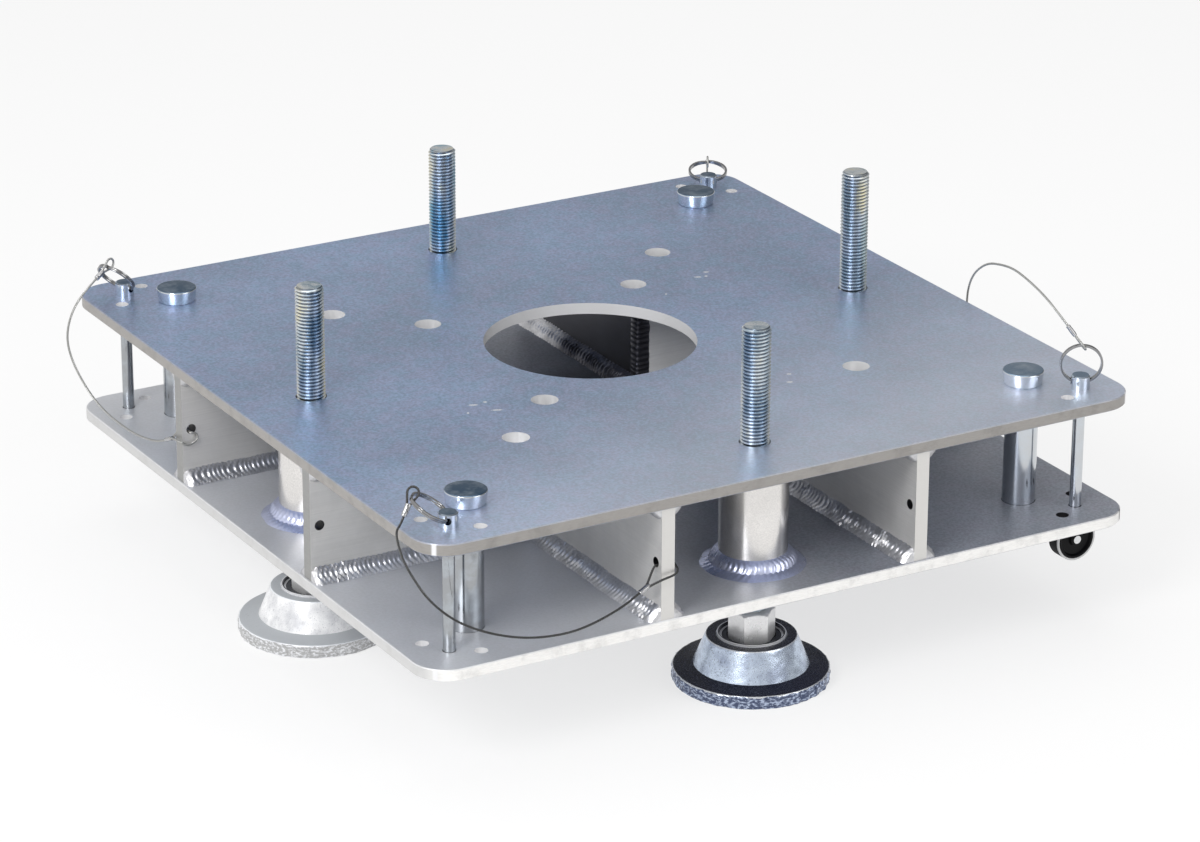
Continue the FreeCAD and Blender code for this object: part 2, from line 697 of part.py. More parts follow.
def wheel_axle(side):
    """A shouldered pin: head inboard of the lug, small lip outside the wheel."""
    face_y = WHEEL_OUTER_FACE + END_PLAY
    lug_y = WHEEL_OUTER_FACE - WHEEL_W - WHEEL_SIDE_GAP - BRACKET_T
    outward = Vector(0, side, 0)
    at = Vector(WHEEL_X, 0, WHEEL_Z)
    head = cylinder(AXLE_HEAD_D / 2, AXLE_HEAD_T, at + outward * (lug_y - AXLE_HEAD_T), outward)
    shaft = cylinder(AXLE_D / 2, face_y - lug_y, at + outward * lug_y, outward)
    lip = cylinder(AXLE_LIP_D / 2, AXLE_LIP_T, at + outward * face_y, outward)
    return head.multiFuse([shaft, lip]).removeSplitter()


def plates_and_webs():
    nodes = {"top_plate": top_plate(), "bottom_plate": bottom_plate()}
    for corner, turn in CORNER_TURNS.items():
        nodes["web_" + corner + "_long"] = quarter_turned(long_web(), turn)
        nodes["web_" + corner + "_butt"] = quarter_turned(butt_web(), turn)
    nodes["web_welds"] = web_welds()
    return nodes


def jacks():
    nodes = {"sleeve_welds": sleeve_welds()}
    for side, (x, y) in JACK_SPOTS.items():
        nodes["jack_sleeve_" + side] = sleeve(x, y)
        nodes["jack_nut_" + side] = jack_nut(x, y)
        nodes["jack_screw_" + side] = jack_screw(x, y, SCREW_RISE[side])
        nodes["foot_pad_" + side] = foot_pad(x, y)
        nodes["foot_ring_" + side] = foot_ring(x, y)
    return nodes


def pins_and_lanyards():
    nodes = {"lanyard_web_eyes": web_eyes()}
    for corner, (sx, sy) in CORNER_SIGNS.items():
        nodes["anchor_pin_" + corner] = anchor_pin(sx, sy)
        nodes["lock_pin_" + corner] = lock_pin(corner)
        nodes["split_ring_" + corner] = split_ring(corner)
        nodes["lanyard_eye_" + corner] = rope_eye(corner)
        nodes["lanyard_" + corner] = lanyard(corner)
    return nodes


def wheels():
    nodes = {
        "wheel_brackets": Part.makeCompound([wheel_bracket(s) for s in WHEEL_SIDES.values()]),
        "wheel_axles": Part.makeCompound([wheel_axle(s) for s in WHEEL_SIDES.values()]),
    }
    for corner, side in WHEEL_SIDES.items():
        nodes["wheel_tyre_" + corner] = wheel_tyre(side)
        nodes["wheel_hub_" + corner] = wheel_hub(side)
    return nodes


def main():
    os.makedirs("parts", exist_ok=True)
    nodes = {}
    for group in (plates_and_webs, jacks, pins_and_lanyards, wheels):
        nodes.update(group())
    for node, shape in nodes.items():
        if not shape.isValid():
            print("not valid:", node)
        shape.exportStep("parts/" + node + ".step")
    print(len(nodes), "nodes")


if __name__ == "__main__":
    main()
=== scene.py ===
"""The looks of a truss base plate: two aluminium plates on webs, with screw jacks and pins."""

import logging
import math
from dataclasses import dataclass, replace
from enum import Enum
from typing import Callable, Iterable, Sequence

import bmesh
import bpy
from mathutils import Matrix, Vector
from mathutils import noise as scatter


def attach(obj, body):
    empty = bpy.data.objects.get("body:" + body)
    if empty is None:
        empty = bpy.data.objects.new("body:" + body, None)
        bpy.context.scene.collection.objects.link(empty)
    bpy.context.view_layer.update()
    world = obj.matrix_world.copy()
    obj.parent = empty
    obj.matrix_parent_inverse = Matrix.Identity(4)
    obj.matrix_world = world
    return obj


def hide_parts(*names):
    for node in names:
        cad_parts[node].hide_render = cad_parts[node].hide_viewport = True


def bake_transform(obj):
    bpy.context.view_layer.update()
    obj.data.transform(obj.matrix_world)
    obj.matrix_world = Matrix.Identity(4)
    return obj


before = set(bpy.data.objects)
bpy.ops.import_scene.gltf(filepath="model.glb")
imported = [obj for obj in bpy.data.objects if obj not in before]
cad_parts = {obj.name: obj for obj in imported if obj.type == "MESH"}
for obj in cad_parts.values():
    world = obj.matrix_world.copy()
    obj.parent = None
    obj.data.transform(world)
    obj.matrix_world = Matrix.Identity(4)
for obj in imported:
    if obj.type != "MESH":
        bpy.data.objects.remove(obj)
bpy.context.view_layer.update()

LOG = logging.getLogger("base_plate")

Colour = tuple[float, float, float]
Place = tuple[float, float, float]
Socket = bpy.types.NodeSocket

UP = Vector((0.0, 0.0, 1.0))

# Sizes of the frame, in metres, as the CAD has them
UNDERSIDE_Z = 0.093
LOW_TOP_Z = 0.103
HIGH_LOW_Z = 0.198
TOP_Z = 0.208
WEB_END = 0.3305
WEB_HOLE_AT = 0.322
WEB_HOLE_Z = 0.1505
JACK_SPOTS = {"east": (0.265, 0.0), "north": (0.0, 0.265), "west": (-0.265, 0.0), "south": (0.0, -0.265)}
CORNER_SIGNS = {"back": (1, 1), "left": (-1, 1), "front": (-1, -1), "right": (1, -1)}
CORNER_TURNS = {"back": 0.0, "left": 90.0, "front": 180.0, "right": 270.0}

# The top plate's bright scuffs: where each is, and about half its length
SCUFFS = (
    (0.1738, 0.0973, 0.0030), (0.1609, 0.0897, 0.0032), (0.1684, 0.0884, 0.0016),
    (0.1041, -0.1511, 0.0022), (0.0950, -0.1672, 0.0030), (-0.1590, -0.0836, 0.0042),
    (-0.1472, -0.0825, 0.0018), (-0.1472, -0.1030, 0.0046), (-0.1711, -0.0972, 0.0012),
    (0.1141, 0.0661, 0.0010),
)
# The deeper zinc tint of each jack's screw
ZINC_TINTS = {
    "east": (0.45, 0.58, 0.62),
    "north": (0.08, 0.42, 0.62),
    "west": (0.15, 0.31, 0.43),
    "south": (0.28, 0.41, 0.52),
}
# Painted shade for hole walls and the back quarter's middle, and a pale colour that is painted light and
# also the real scuffs' colour
SHADOW = (0.01, 0.01, 0.012)
CORE_SHADE_TONE = (0.05, 0.055, 0.07)
PAINTED_LIGHT_AND_SCUFF = (0.95, 0.96, 0.98)


class Body(Enum):
    """The moving bodies, by the start of their names."""

    FRAME = "frame"
    FOOT = "foot_"
    SCREW = "screw_"
    ANCHOR = "anchor_"
    LOCK = "lock_"
    RING = "ring_"
    WHEEL = "wheel_"

    def at(self, place: str = "") -> str:
        """The body's full name at a side such as "east" or a corner such as "back"."""
        return self.value + place


# Finishes


class Bench:
    """Adds and joins the nodes of one material."""

    def __init__(self, tree: bpy.types.NodeTree) -> None:
        """Starts on an empty tree.

        Args:
            tree: The material's own node tree.
        """
        self.tree = tree
        tree.nodes.clear()
        self.shader = self.add("ShaderNodeBsdfPrincipled")
        output = self.add("ShaderNodeOutputMaterial")
        tree.links.new(self.shader.outputs[0], output.inputs[0])
        self.place = self.add("ShaderNodeTexCoord").outputs["Object"]

    def add(self, kind: str, **settings: object) -> bpy.types.Node:
        """Adds one node.

        Args:
            kind: The node's type.
            settings: Its properties.

        Returns:
            The new node.
        """
        node = self.tree.nodes.new(kind)
        for name, value in settings.items():
            setattr(node, name, value)
        return node

    def plug(self, socket: Socket, value: object) -> None:
        """Links a socket to another, or sets its value.

        Args:
            socket: The socket to fill.
            value: Another socket, a number or a colour.
        """
        if isinstance(value, Socket):
            self.tree.links.new(value, socket)
        elif socket.type == "RGBA":
            socket.default_value = (*value, 1.0)
        else:
            socket.default_value = value

    def feed(self, node: bpy.types.Node, **inputs: object) -> None:
        """Sets or links a node's inputs by name, with spaces written as underscores.

        Args:
            node: The node to feed.
            inputs: Numbers, colours or the sockets of other nodes.
        """
        for name, value in inputs.items():
            self.plug(node.inputs[name.replace("_", " ")], value)

    def stretched(self, scale: Sequence[float]) -> Socket:
        """The place on the piece, in metres, scaled along each axis.

        Args:
            scale: One factor for each axis.

        Returns:
            A vector socket.
        """
        node = self.add("ShaderNodeMapping")
        self.feed(node, Vector=self.place, Scale=scale)
        return node.outputs[0]

    def mottle(self, scale: float, detail: float = 4.0, place: Socket | None = None) -> Socket:
        """Soft random shades.

        Args:
            scale: Blotches to a metre.
            detail: Octaves of finer shades.
            place: Where on the piece, or its plain place.

        Returns:
            A value socket around 0.5.
        """
        node = self.add("ShaderNodeTexNoise")
        self.feed(node, Vector=place or self.place, Scale=scale, Detail=detail, Roughness=0.6)
        return node.outputs["Fac"]

    def span(self, value: Socket, low: float, high: float, to_low: float, to_high: float) -> Socket:
        """Maps a value from one span to another, held at its ends.

        Args:
            value: The value to map.
            low: Where its span starts.
            high: Where its span ends.
            to_low: The result at the start.
            to_high: The result at the end.

        Returns:
            A value socket.
        """
        node = self.add("ShaderNodeMapRange", clamp=True)
        self.feed(node, Value=value, From_Min=low, From_Max=high, To_Min=to_low, To_Max=to_high)
        return node.outputs[0]

    def blend(self, share: Socket, first: object, second: object) -> Socket:
        """Mixes two colours.

        Args:
            share: How much of the second.
            first: A colour or a socket.
            second: A colour or a socket.

        Returns:
            A colour socket.
        """
        node = self.add("ShaderNodeMix", data_type="RGBA")
        for index, value in ((0, share), (6, first), (7, second)):
            self.plug(node.inputs[index], value)
        return node.outputs[2]

    def tint(self, colour: object, value: Socket, low: float, high: float, share: float,
             over: object) -> Socket:
        """Lays a share of one colour over another as a value passes from low to high."""
        return self.blend(self.span(value, low, high, 0.0, share), colour, over)

    def sum(self, operation: str, first: object, second: object) -> Socket:
        """Works out one value from two.

        Args:
            operation: What is done, such as "MULTIPLY".
            first: A number or a socket.
            second: A number or a socket.

        Returns:
            A value socket.
        """
        node = self.add("ShaderNodeMath", operation=operation)
        for socket, value in zip(node.inputs, (first, second)):
            self.plug(socket, value)
        return node.outputs[0]

    def parts(self, vector: Socket) -> list[Socket]:
        """Takes a vector apart.

        Args:
            vector: The vector's socket.

        Returns:
            The sockets of its three parts.
        """
        node = self.add("ShaderNodeSeparateXYZ")
        self.feed(node, Vector=vector)
        return list(node.outputs)

    def level(self) -> Socket:
        """How level the surface is: 1 where it is flat, 0 where it is upright."""
        return self.facing(2)

    def facing(self, axis: int) -> Socket:
        """How squarely the surface faces along one axis: 0 to 1."""
        normal = self.add("ShaderNodeNewGeometry").outputs["Normal"]
        return self.sum("ABSOLUTE", self.parts(normal)[axis], 0.0)

    def core(self, out_to: float) -> Socket:
        """The middle of the back quarter, where painted shade goes, as a share that fades outwards.

        Args:
            out_to: How far out it reaches.

        Returns:
            A value socket from 0 to 1.
        """
        across = self.parts(self.place)
        quarter = self.span(self.sum("MINIMUM", across[0], across[1]), 0.0, 0.05, 0.0, 1.0)
        return self.sum("MULTIPLY", quarter, self.span(self.reach(), out_to - 0.04, out_to, 1.0, 0.0))

    def reach(self) -> Socket:
        """How far out a point lies, in metres, along X or Y, whichever is more."""
        across = [self.sum("ABSOLUTE", part, 0.0) for part in self.parts(self.place)[:2]]
        return self.sum("MAXIMUM", *across)

    def bore(self, x: float, y: float) -> Socket:
        """How far a point lies, in metres, from an upright axis."""
        across = self.parts(self.place)
        return self.apart((across[0], x), (across[1], y))

    def apart(self, *pairs: tuple[Socket, float]) -> Socket:
        """The distance, in metres, from values along two axes to a place on them."""
        gaps = [self.sum("SUBTRACT", value, other) for value, other in pairs]
        return self.sum("SQRT", self.sum("ADD", *[self.sum("MULTIPLY", gap, gap) for gap in gaps]), 0.0)

    def relief(self, height: Socket, strength: float, depth: float) -> None:
        """Presses fine relief into the surface.

        Args:
            height: The relief's height.
            strength: How strongly it shows.
            depth: How deep it is, in metres.
        """
        node = self.add("ShaderNodeBump")
        self.feed(node, Height=height, Strength=strength, Distance=depth)
        self.feed(self.shader, Normal=node.outputs[0])


@dataclass(frozen=True)
class Finish:
    """A plain finish, which the others build on."""

    name: str
    colour: Colour
    metallic: float = 1.0
    roughness: float = 0.3
    grain: float = 900.0
    specular: float = 0.5

    def material(self) -> bpy.types.Material:
        """Makes the material, once.

        Returns:
            The finish as a node material.
        """
        name = self.name + "_finish"
        made = bpy.data.materials.get(name)
        if made is None:
            made = bpy.data.materials.new(name)
            made.use_nodes = True
            bench = Bench(made.node_tree)
            bench.feed(bench.shader, Metallic=self.metallic, Specular_IOR_Level=self.specular)
            self.dress(bench)
        return made

    def shade(self, factor: float) -> Colour:
        """The finish's colour with each channel multiplied by a factor."""
        return tuple(min(1.0, channel * factor) for channel in self.colour)

    def uneven(self, bench: Bench, value: Socket, low: float, high: float) -> Socket:
        """The finish's roughness, which a value around 0.5 varies between two shares of it."""
        return bench.span(value, 0.3, 0.7, self.roughness * low, self.roughness * high)

    def dress(self, bench: Bench) -> None:
        """Adds colour, roughness and relief.

        Args:
            bench: The material's nodes.
        """
        fine = bench.mottle(self.grain)
        broad = bench.mottle(22.0)
        colour = bench.tint(self.shade(0.88), fine, 0.3, 0.7, 1.0, self.shade(1.08))
        colour = bench.tint(colour, broad, 0.35, 0.7, 0.35, self.shade(0.72))
        bench.feed(bench.shader, Base_Color=colour, Roughness=self.uneven(bench, broad, 0.85, 1.2))
        bench.relief(fine, 0.08, 0.0003)


@dataclass(frozen=True)
class MillPlate(Finish):
    """Rolled plate: blue-grey faces with a fine grain, sawn edges, and bright hole walls that are partly
    painted sunlight.
    """

    edge: Colour = (0.60, 0.58, 0.55)
    # Painted shade: a darker copy of the edge colour for edges facing along X
    x_edge_shade: Colour = (0.33, 0.315, 0.30)
    # Hole walls: bright drilled metal, partly painted sunlight
    wall: Colour = (0.78, 0.78, 0.79)
    teal: Colour = (0.25, 0.40, 0.50)
    lavender: Colour = (0.40, 0.39, 0.56)
    tint: float = 0.55
    # Painted light: how much pale colour is laid across the face, along which way, and over what span
    painted_light: float = 0.24
    painted_light_way: tuple[float, float] = (0.35, -0.9)
    painted_light_from: float = 0.05
    painted_light_to: float = 0.32
    # Painted shade: how dark the middle of the back quarter is
    core_shade: float = 0.0
    # Painted shade on the hole walls past this point along X
    wall_shade_from: float = 1.0
    holes_to: float = 0.3245
    marks: tuple[tuple[float, float, float], ...] = ()
    mark_half: float = 0.0016
    mark_turn: float = -22.0

    def dress(self, bench: Bench) -> None:
        """Adds the rolled face, its tints, painted light, painted shade in the back quarter's middle, the
        scuffs and the sawn edges.

        Args:
            bench: The material's nodes.
        """
        grain = bench.mottle(420.0, 3.0)
        tints = bench.mottle(70.0, 7.0)
        rolling = bench.mottle(1.0, 5.0, bench.stretched((700.0, 14.0, 700.0)))
        clouds = bench.mottle(5.5, 5.0)
        across = bench.parts(bench.place)
        ways = [bench.sum("MULTIPLY", part, way) for part, way in zip(across, self.painted_light_way)]
        painted_light = bench.sum("ADD", *ways)
        face = bench.tint(self.shade(0.86), clouds, 0.36, 0.64, 1.0, self.shade(1.10))
        face = bench.tint(face, tints, 0.47, 0.62, self.tint, self.teal)
        face = bench.tint(face, tints, 0.53, 0.38, self.tint, self.lavender)
        face = bench.tint(face, grain, 0.45, 0.70, 0.55, self.shade(1.40))
        face = bench.tint(face, grain, 0.52, 0.34, 0.50, self.shade(0.74))
        face = bench.tint(face, rolling, 0.54, 0.74, 0.30, self.shade(0.70))
        # Painted light: a painted sheen towards the top plate's front right, and painted sunlight towards
        # the bottom plate's left
        face = bench.tint(face, painted_light, self.painted_light_from, self.painted_light_to, self.painted_light, PAINTED_LIGHT_AND_SCUFF)
        # Painted shade in the middle of the back quarter, under the top plate
        face = bench.blend(bench.sum("MULTIPLY", bench.core(0.20), self.core_shade), face, CORE_SHADE_TONE)
        # Real scuffs, in the same pale colour as the painted light
        for x, y, length in self.marks:
            face = bench.blend(self.mark(bench, x, y, length), face, PAINTED_LIGHT_AND_SCUFF)
        side = bench.span(bench.level(), 0.6, 0.85, 1.0, 0.0)
        saw = bench.mottle(1.0, 3.0, bench.stretched((160.0, 160.0, 2400.0)))
        stains = bench.mottle(70.0, 6.0)
        # Painted shade on the sawn edges that face along X
        cut = bench.tint(self.edge, bench.facing(0), 0.5, 0.9, 1.0, self.x_edge_shade)
        cut = bench.blend(bench.span(saw, 0.35, 0.65, 0.30, 0.0), cut, tuple(c * 0.6 for c in self.edge))
        cut = bench.tint(cut, stains, 0.50, 0.66, 0.35, tuple(c * 0.5 for c in self.edge))
        # Hole walls: bright metal with painted sunlight, and painted shade past a point along X
        wall = bench.tint(self.wall, across[0], self.wall_shade_from, self.wall_shade_from + 0.01, 1.0, SHADOW)
        cut = bench.tint(cut, bench.reach(), self.holes_to + 0.001, self.holes_to, 1.0, wall)
        bench.feed(
            bench.shader,
            Base_Color=bench.blend(side, face, cut),
            Metallic=bench.span(side, 0.0, 1.0, self.metallic, 0.25),
            Roughness=self.uneven(bench, clouds, 0.85, 1.2),
        )
        bench.relief(grain, 0.08, 0.0002)

    def mark(self, bench: Bench, x: float, y: float, length: float) -> Socket:
        """A small bright scuff along the plate.

        Args:
            bench: The material's nodes.
            x: Its middle.
            y: Its middle.
            length: About half its length, in metres.

        Returns:
            A share that is 1 on the scuff.
        """
        node = bench.add("ShaderNodeMapping", vector_type="TEXTURE")
        turn = (0.0, 0.0, math.radians(self.mark_turn))
        size = (length, self.mark_half, 1.0)
        bench.feed(node, Vector=bench.place, Location=(x, y, 0.0), Rotation=turn, Scale=size)
        squares = [bench.sum("MULTIPLY", part, part) for part in bench.parts(node.outputs[0])[:2]]
        ragged = bench.span(bench.mottle(900.0, 3.0), 0.3, 0.7, -0.7, 0.7)
        return bench.span(bench.sum("ADD", bench.sum("ADD", *squares), ragged), 0.5, 1.2, 0.9, 0.0)


@dataclass(frozen=True)
class MillBar(Finish):
    """Extruded flat bar, with drawn lines along its length, a pale sawn end with painted shade on its
    X-facing side, and painted shade in its rope hole.
    """

    end: Colour = (0.66, 0.65, 0.63)
    # Painted shade: a darker copy of the end colour for ends facing along X
    x_end_shade: Colour = (0.30, 0.30, 0.295)
    hole_r: float = 0.0042

    def dress(self, bench: Bench) -> None:
        """Adds level drawn lines, a few darker stains, painted shade in the rope hole and the sawn end.

        Args:
            bench: The material's nodes.
        """
        drawn = bench.mottle(1.0, 4.0, bench.stretched((10.0, 10.0, 900.0)))
        stains = bench.mottle(16.0, 5.0)
        colour = bench.tint(self.shade(0.94), drawn, 0.35, 0.68, 1.0, self.shade(1.04))
        colour = bench.tint(colour, stains, 0.42, 0.72, 0.5, self.shade(0.66))
        reach = bench.reach()
        # Painted shade inside the web's rope hole
        off = bench.apart((reach, WEB_HOLE_AT), (bench.parts(bench.place)[2], WEB_HOLE_Z))
        colour = bench.tint(colour, off, self.hole_r + 0.0002, self.hole_r, 1.0, SHADOW)
        # Painted shade on the sawn ends that face along X
        end = bench.tint(self.end, bench.facing(0), 0.5, 0.9, 1.0, self.x_end_shade)
        colour = bench.tint(colour, reach, WEB_END - 0.0005, WEB_END - 0.0001, 1.0, end)
        bench.feed(bench.shader, Base_Color=colour, Roughness=self.uneven(bench, drawn, 0.8, 1.2))
        bench.relief(drawn, 0.12, 0.0002)


@dataclass(frozen=True)
class ZincThread(Finish):
    """Bright zinc on a thread: steel blue with straw patches, and painted shade in the thread's roots."""

    straw: Colour = (0.92, 0.86, 0.62)
    deep: Colour = (0.12, 0.30, 0.44)
    # Painted shade in the thread's roots
    root: Colour = (0.03, 0.05, 0.09)
    axis: tuple[float, float] = (0.0, 0.0)

    def dress(self, bench: Bench) -> None:
        """Adds the zinc's passing tints.

        Args:
            bench: The material's nodes.
        """
        patches = bench.mottle(1.0, 3.0, bench.stretched((60.0, 60.0, 22.0)))
        fine = bench.mottle(700.0)
        colour = bench.tint(self.colour, patches, 0.47, 0.62, 0.8, self.deep)
        colour = bench.tint(colour, patches, 0.45, 0.36, 0.8, self.straw)
        colour = bench.tint(colour, fine, 0.35, 0.7, 0.35, self.shade(1.35))
        # Painted shade down in the thread's roots, kept off the level faces
        roots = bench.span(bench.bore(*self.axis), 0.0103, 0.0112, 0.75, 0.0)
        roots = bench.sum("MULTIPLY", roots, bench.span(bench.level(), 0.90, 0.97, 1.0, 0.0))
        colour = bench.blend(roots, colour, self.root)
        bench.feed(bench.shader, Base_Color=colour, Roughness=self.uneven(bench, fine, 0.8, 1.3))


@dataclass(frozen=True)
class Chrome(Finish):
    """Polished plating, with a painted sky reflection on level faces and painted shade below the top plate.
    """

    # Painted reflection of the sky on level faces
    top: Colour = (0.04, 0.105, 0.19)
    smear: Colour = (0.62, 0.70, 0.78)
    # Painted shade below the top plate, as a share of the colour
    shade_below: float = 0.52

    def dress(self, bench: Bench) -> None:
        """Adds the painted shade, the painted reflection and faint smears.

        Args:
            bench: The material's nodes.
        """
        smears = bench.mottle(60.0)
        height = bench.parts(bench.place)[2]
        # Painted shade below the top plate
        colour = bench.tint(self.shade(self.shade_below), height, TOP_Z - 0.001, TOP_Z, 1.0, self.colour)
        # Painted sky reflection on level faces
        colour = bench.tint(colour, bench.level(), 0.50, 0.85, 1.0, self.top)
        colour = bench.tint(colour, smears, 0.45, 0.70, 0.40, self.smear)
        bench.feed(bench.shader, Base_Color=colour, Roughness=self.uneven(bench, smears, 0.7, 1.6))


@dataclass(frozen=True)
class WeldMetal(Finish):
    """Weld metal, with painted shade in the middle of the back quarter."""

    core_shade_tone: Colour = (0.06, 0.06, 0.075)

    def dress(self, bench: Bench) -> None:
        """Adds mottled metal and the painted shade.

        Args:
            bench: The material's nodes.
        """
        fine = bench.mottle(self.grain)
        broad = bench.mottle(45.0)
        colour = bench.tint(self.shade(0.85), fine, 0.3, 0.7, 1.0, self.shade(1.15))
        colour = bench.tint(colour, broad, 0.42, 0.62, 0.6, self.shade(0.62))
        # Painted shade in the middle of the back quarter
        colour = bench.blend(bench.sum("MULTIPLY", bench.core(0.27), 0.95), colour, self.core_shade_tone)
        bench.feed(bench.shader, Base_Color=colour, Roughness=self.uneven(bench, broad, 0.85, 1.25))
        bench.relief(fine, 0.15, 0.0003)


@dataclass(frozen=True)
class Banded(Finish):
    """A ring with bright bands of painted highlight, and painted shade in the dark gaps between them."""

    axis: tuple[float, float] = (0.0, 0.0)
    # Painted shade in the gaps
    gap: Colour = (0.02, 0.022, 0.03)
    # Where the painted highlights lie, as spans of distance from the axis
    bright: tuple[tuple[float, float], ...] = ((0.0246, 0.0264), (0.0276, 0.0300))

    def dress(self, bench: Bench) -> None:
        """Adds the bands by their distance from the axis.

        Args:
            bench: The material's nodes.
        """
        out = bench.bore(*self.axis)
        colour = self.gap
        for low, high in self.bright:
            inside = bench.sum("MULTIPLY", bench.span(out, low - 0.0002, low, 0.0, 1.0),
                               bench.span(out, high, high + 0.0002, 1.0, 0.0))
            colour = bench.blend(inside, colour, self.colour)
        bench.feed(bench.shader, Base_Color=colour, Roughness=self.roughness)


@dataclass(frozen=True)
class Tread(Finish):
    """Black rubber with a pale outer lip."""

    lip: Colour = (0.62, 0.62, 0.62)
    lip_at: float = 0.2968

    def dress(self, bench: Bench) -> None:
        """Adds the lip and a dusty bloom.

        Args:
            bench: The material's nodes.
        """
        dust = bench.mottle(300.0)
        out = bench.sum("ABSOLUTE", bench.parts(bench.place)[1], 0.0)
        colour = bench.tint(self.colour, dust, 0.4, 0.7, 0.4, self.shade(2.5))
        colour = bench.tint(colour, out, self.lip_at, self.lip_at + 0.0004, 1.0, self.lip)
        bench.feed(bench.shader, Base_Color=colour, Roughness=self.roughness)
        bench.relief(dust, 0.1, 0.0002)


@dataclass(frozen=True)
class CastSkin(Finish):
    """Galvanised casting: speckled sides, painted shade on the level faces and painted highlights on the
    arrises.
    """

    pit: Colour = (0.10, 0.10, 0.12)
    # Painted shade on level faces
    level_shade: Colour = (0.006, 0.007, 0.018)
    # Painted highlight on the arrises
    arris_highlight: Colour = (0.90, 0.92, 0.95)
    rim: Colour = (0.08, 0.10, 0.17)
    rim_top: float = 0.0112
    speckle: float = 760.0

    def dress(self, bench: Bench) -> None:
        """Adds speckles, the painted shade on level faces, the painted highlights on the arrises and a
        pebbled relief.

        Args:
            bench: The material's nodes.
        """
        speckle = bench.mottle(self.speckle, 4.0)
        patches = bench.mottle(60.0, 4.0)
        level = bench.level()
        colour = bench.tint(self.shade(0.72), patches, 0.35, 0.68, 1.0, self.shade(1.2))
        colour = bench.tint(colour, speckle, 0.55, 0.70, 0.7, self.pit)
        scales = bench.mottle(1.0, 4.0, bench.stretched((330.0, 330.0, 620.0)))
        rim = bench.tint(self.rim, scales, 0.47, 0.62, 0.8, self.colour)
        height = bench.parts(bench.place)[2]
        colour = bench.tint(colour, height, self.rim_top + 0.001, self.rim_top, 1.0, rim)
        # Painted highlight on the arrises
        colour = bench.tint(colour, level, 0.45, 0.60, 0.95, self.arris_highlight)
        # Painted shade on level faces
        shaded_level = bench.span(level, 0.86, 0.94, 0.0, 1.0)
        bench.feed(
            bench.shader,
            Base_Color=bench.blend(shaded_level, colour, self.level_shade),
            Metallic=bench.span(shaded_level, 0.0, 1.0, self.metallic, 0.0),
            Roughness=self.uneven(bench, speckle, 0.75, 1.3),
        )
        bare = bench.span(shaded_level, 0.0, 1.0, 1.0, 0.0)
        bench.relief(bench.sum("MULTIPLY", speckle, bare), 0.25, 0.0004)


# The top plate's blue tint is partly a painted sky reflection. The same sawn edge is dark on the top plate
# and near-white on the bottom plate, partly painted shade and painted light.
PLATE = MillPlate(
    "plate_faces", (0.345, 0.43, 0.61), metallic=0.85, roughness=0.35, edge=(0.33, 0.315, 0.30),
    teal=(0.28, 0.45, 0.60), lavender=(0.43, 0.43, 0.62), tint=0.42, painted_light=0.42, marks=SCUFFS,
)
LOW_PLATE = MillPlate(
    "sheltered_plate", (0.33, 0.35, 0.40), metallic=0.55, roughness=0.40, edge=(0.93, 0.92, 0.90),
    x_edge_shade=(0.58, 0.58, 0.58), teal=(0.30, 0.34, 0.40), lavender=(0.36, 0.34, 0.42), tint=0.35, painted_light=0.62,
    painted_light_way=(-1.0, -0.2), painted_light_from=0.0, painted_light_to=0.16, core_shade=0.8, wall_shade_from=0.2,
)
BAR = MillBar("web_bar", (0.70, 0.69, 0.67), metallic=0.5, roughness=0.42)
# Painted shade: the back corner's long web is near-black. Painted highlight: its butt web is near-white, for
# a sunlit reflection on it.
SHADED_CORE_BAR = MillBar("shaded_core_web_bar", (0.11, 0.11, 0.12), metallic=0.95, roughness=0.36)
PAINTED_GLARE_BAR = MillBar("painted_glare_web_bar", (0.97, 0.97, 0.97), metallic=0.0, roughness=0.5)
WELD = WeldMetal("weld_metal", (0.70, 0.70, 0.72), metallic=0.85, roughness=0.36, grain=600.0)
# The sleeve welds' finish, tinted blue
BLUISH_WELD = Finish("bluish_weld", (0.62, 0.66, 0.86), metallic=0.85, roughness=0.30, grain=500.0)
TUBE = Finish("sleeve_tube", (0.80, 0.78, 0.76), roughness=0.20)
NUT = Finish("nut_steel", (0.45, 0.45, 0.46), roughness=0.35)
HEXAGON = Finish("zinc_hexagon", (0.95, 0.95, 0.96), metallic=0.5, roughness=0.28)
# Painted shadow on the screw's collar, under the foot's ring
COLLAR_SHADOW = Finish("collar_shadow", (0.02, 0.022, 0.03), metallic=0.3, roughness=0.35)
# One galvanised casting in two copies: a shaded one, tinted blue for a painted reflection, and a sunlit one
SHADED_FOOT = CastSkin("shaded_foot", (0.62, 0.71, 0.90), metallic=0.9, roughness=0.25)
SUNLIT_FOOT = CastSkin(
    "sunlit_foot", (0.88, 0.89, 0.92), metallic=0.3, roughness=0.34, pit=(0.42, 0.42, 0.45),
    level_shade=(0.44, 0.46, 0.48), rim=(0.40, 0.40, 0.40),
)
# One chrome in a shaded copy and a lit copy; the lit one is for the right corner's pins
PIN = Chrome("pin_chrome", (0.72, 0.745, 0.775), roughness=0.13)
LIT_PIN = Chrome(
    "lit_pin_chrome", (0.72, 0.745, 0.775), roughness=0.13, top=(0.22, 0.32, 0.44), shade_below=0.80,
)
SPRING = Finish("ring_steel", (0.32, 0.32, 0.325), roughness=0.14, grain=1500.0)
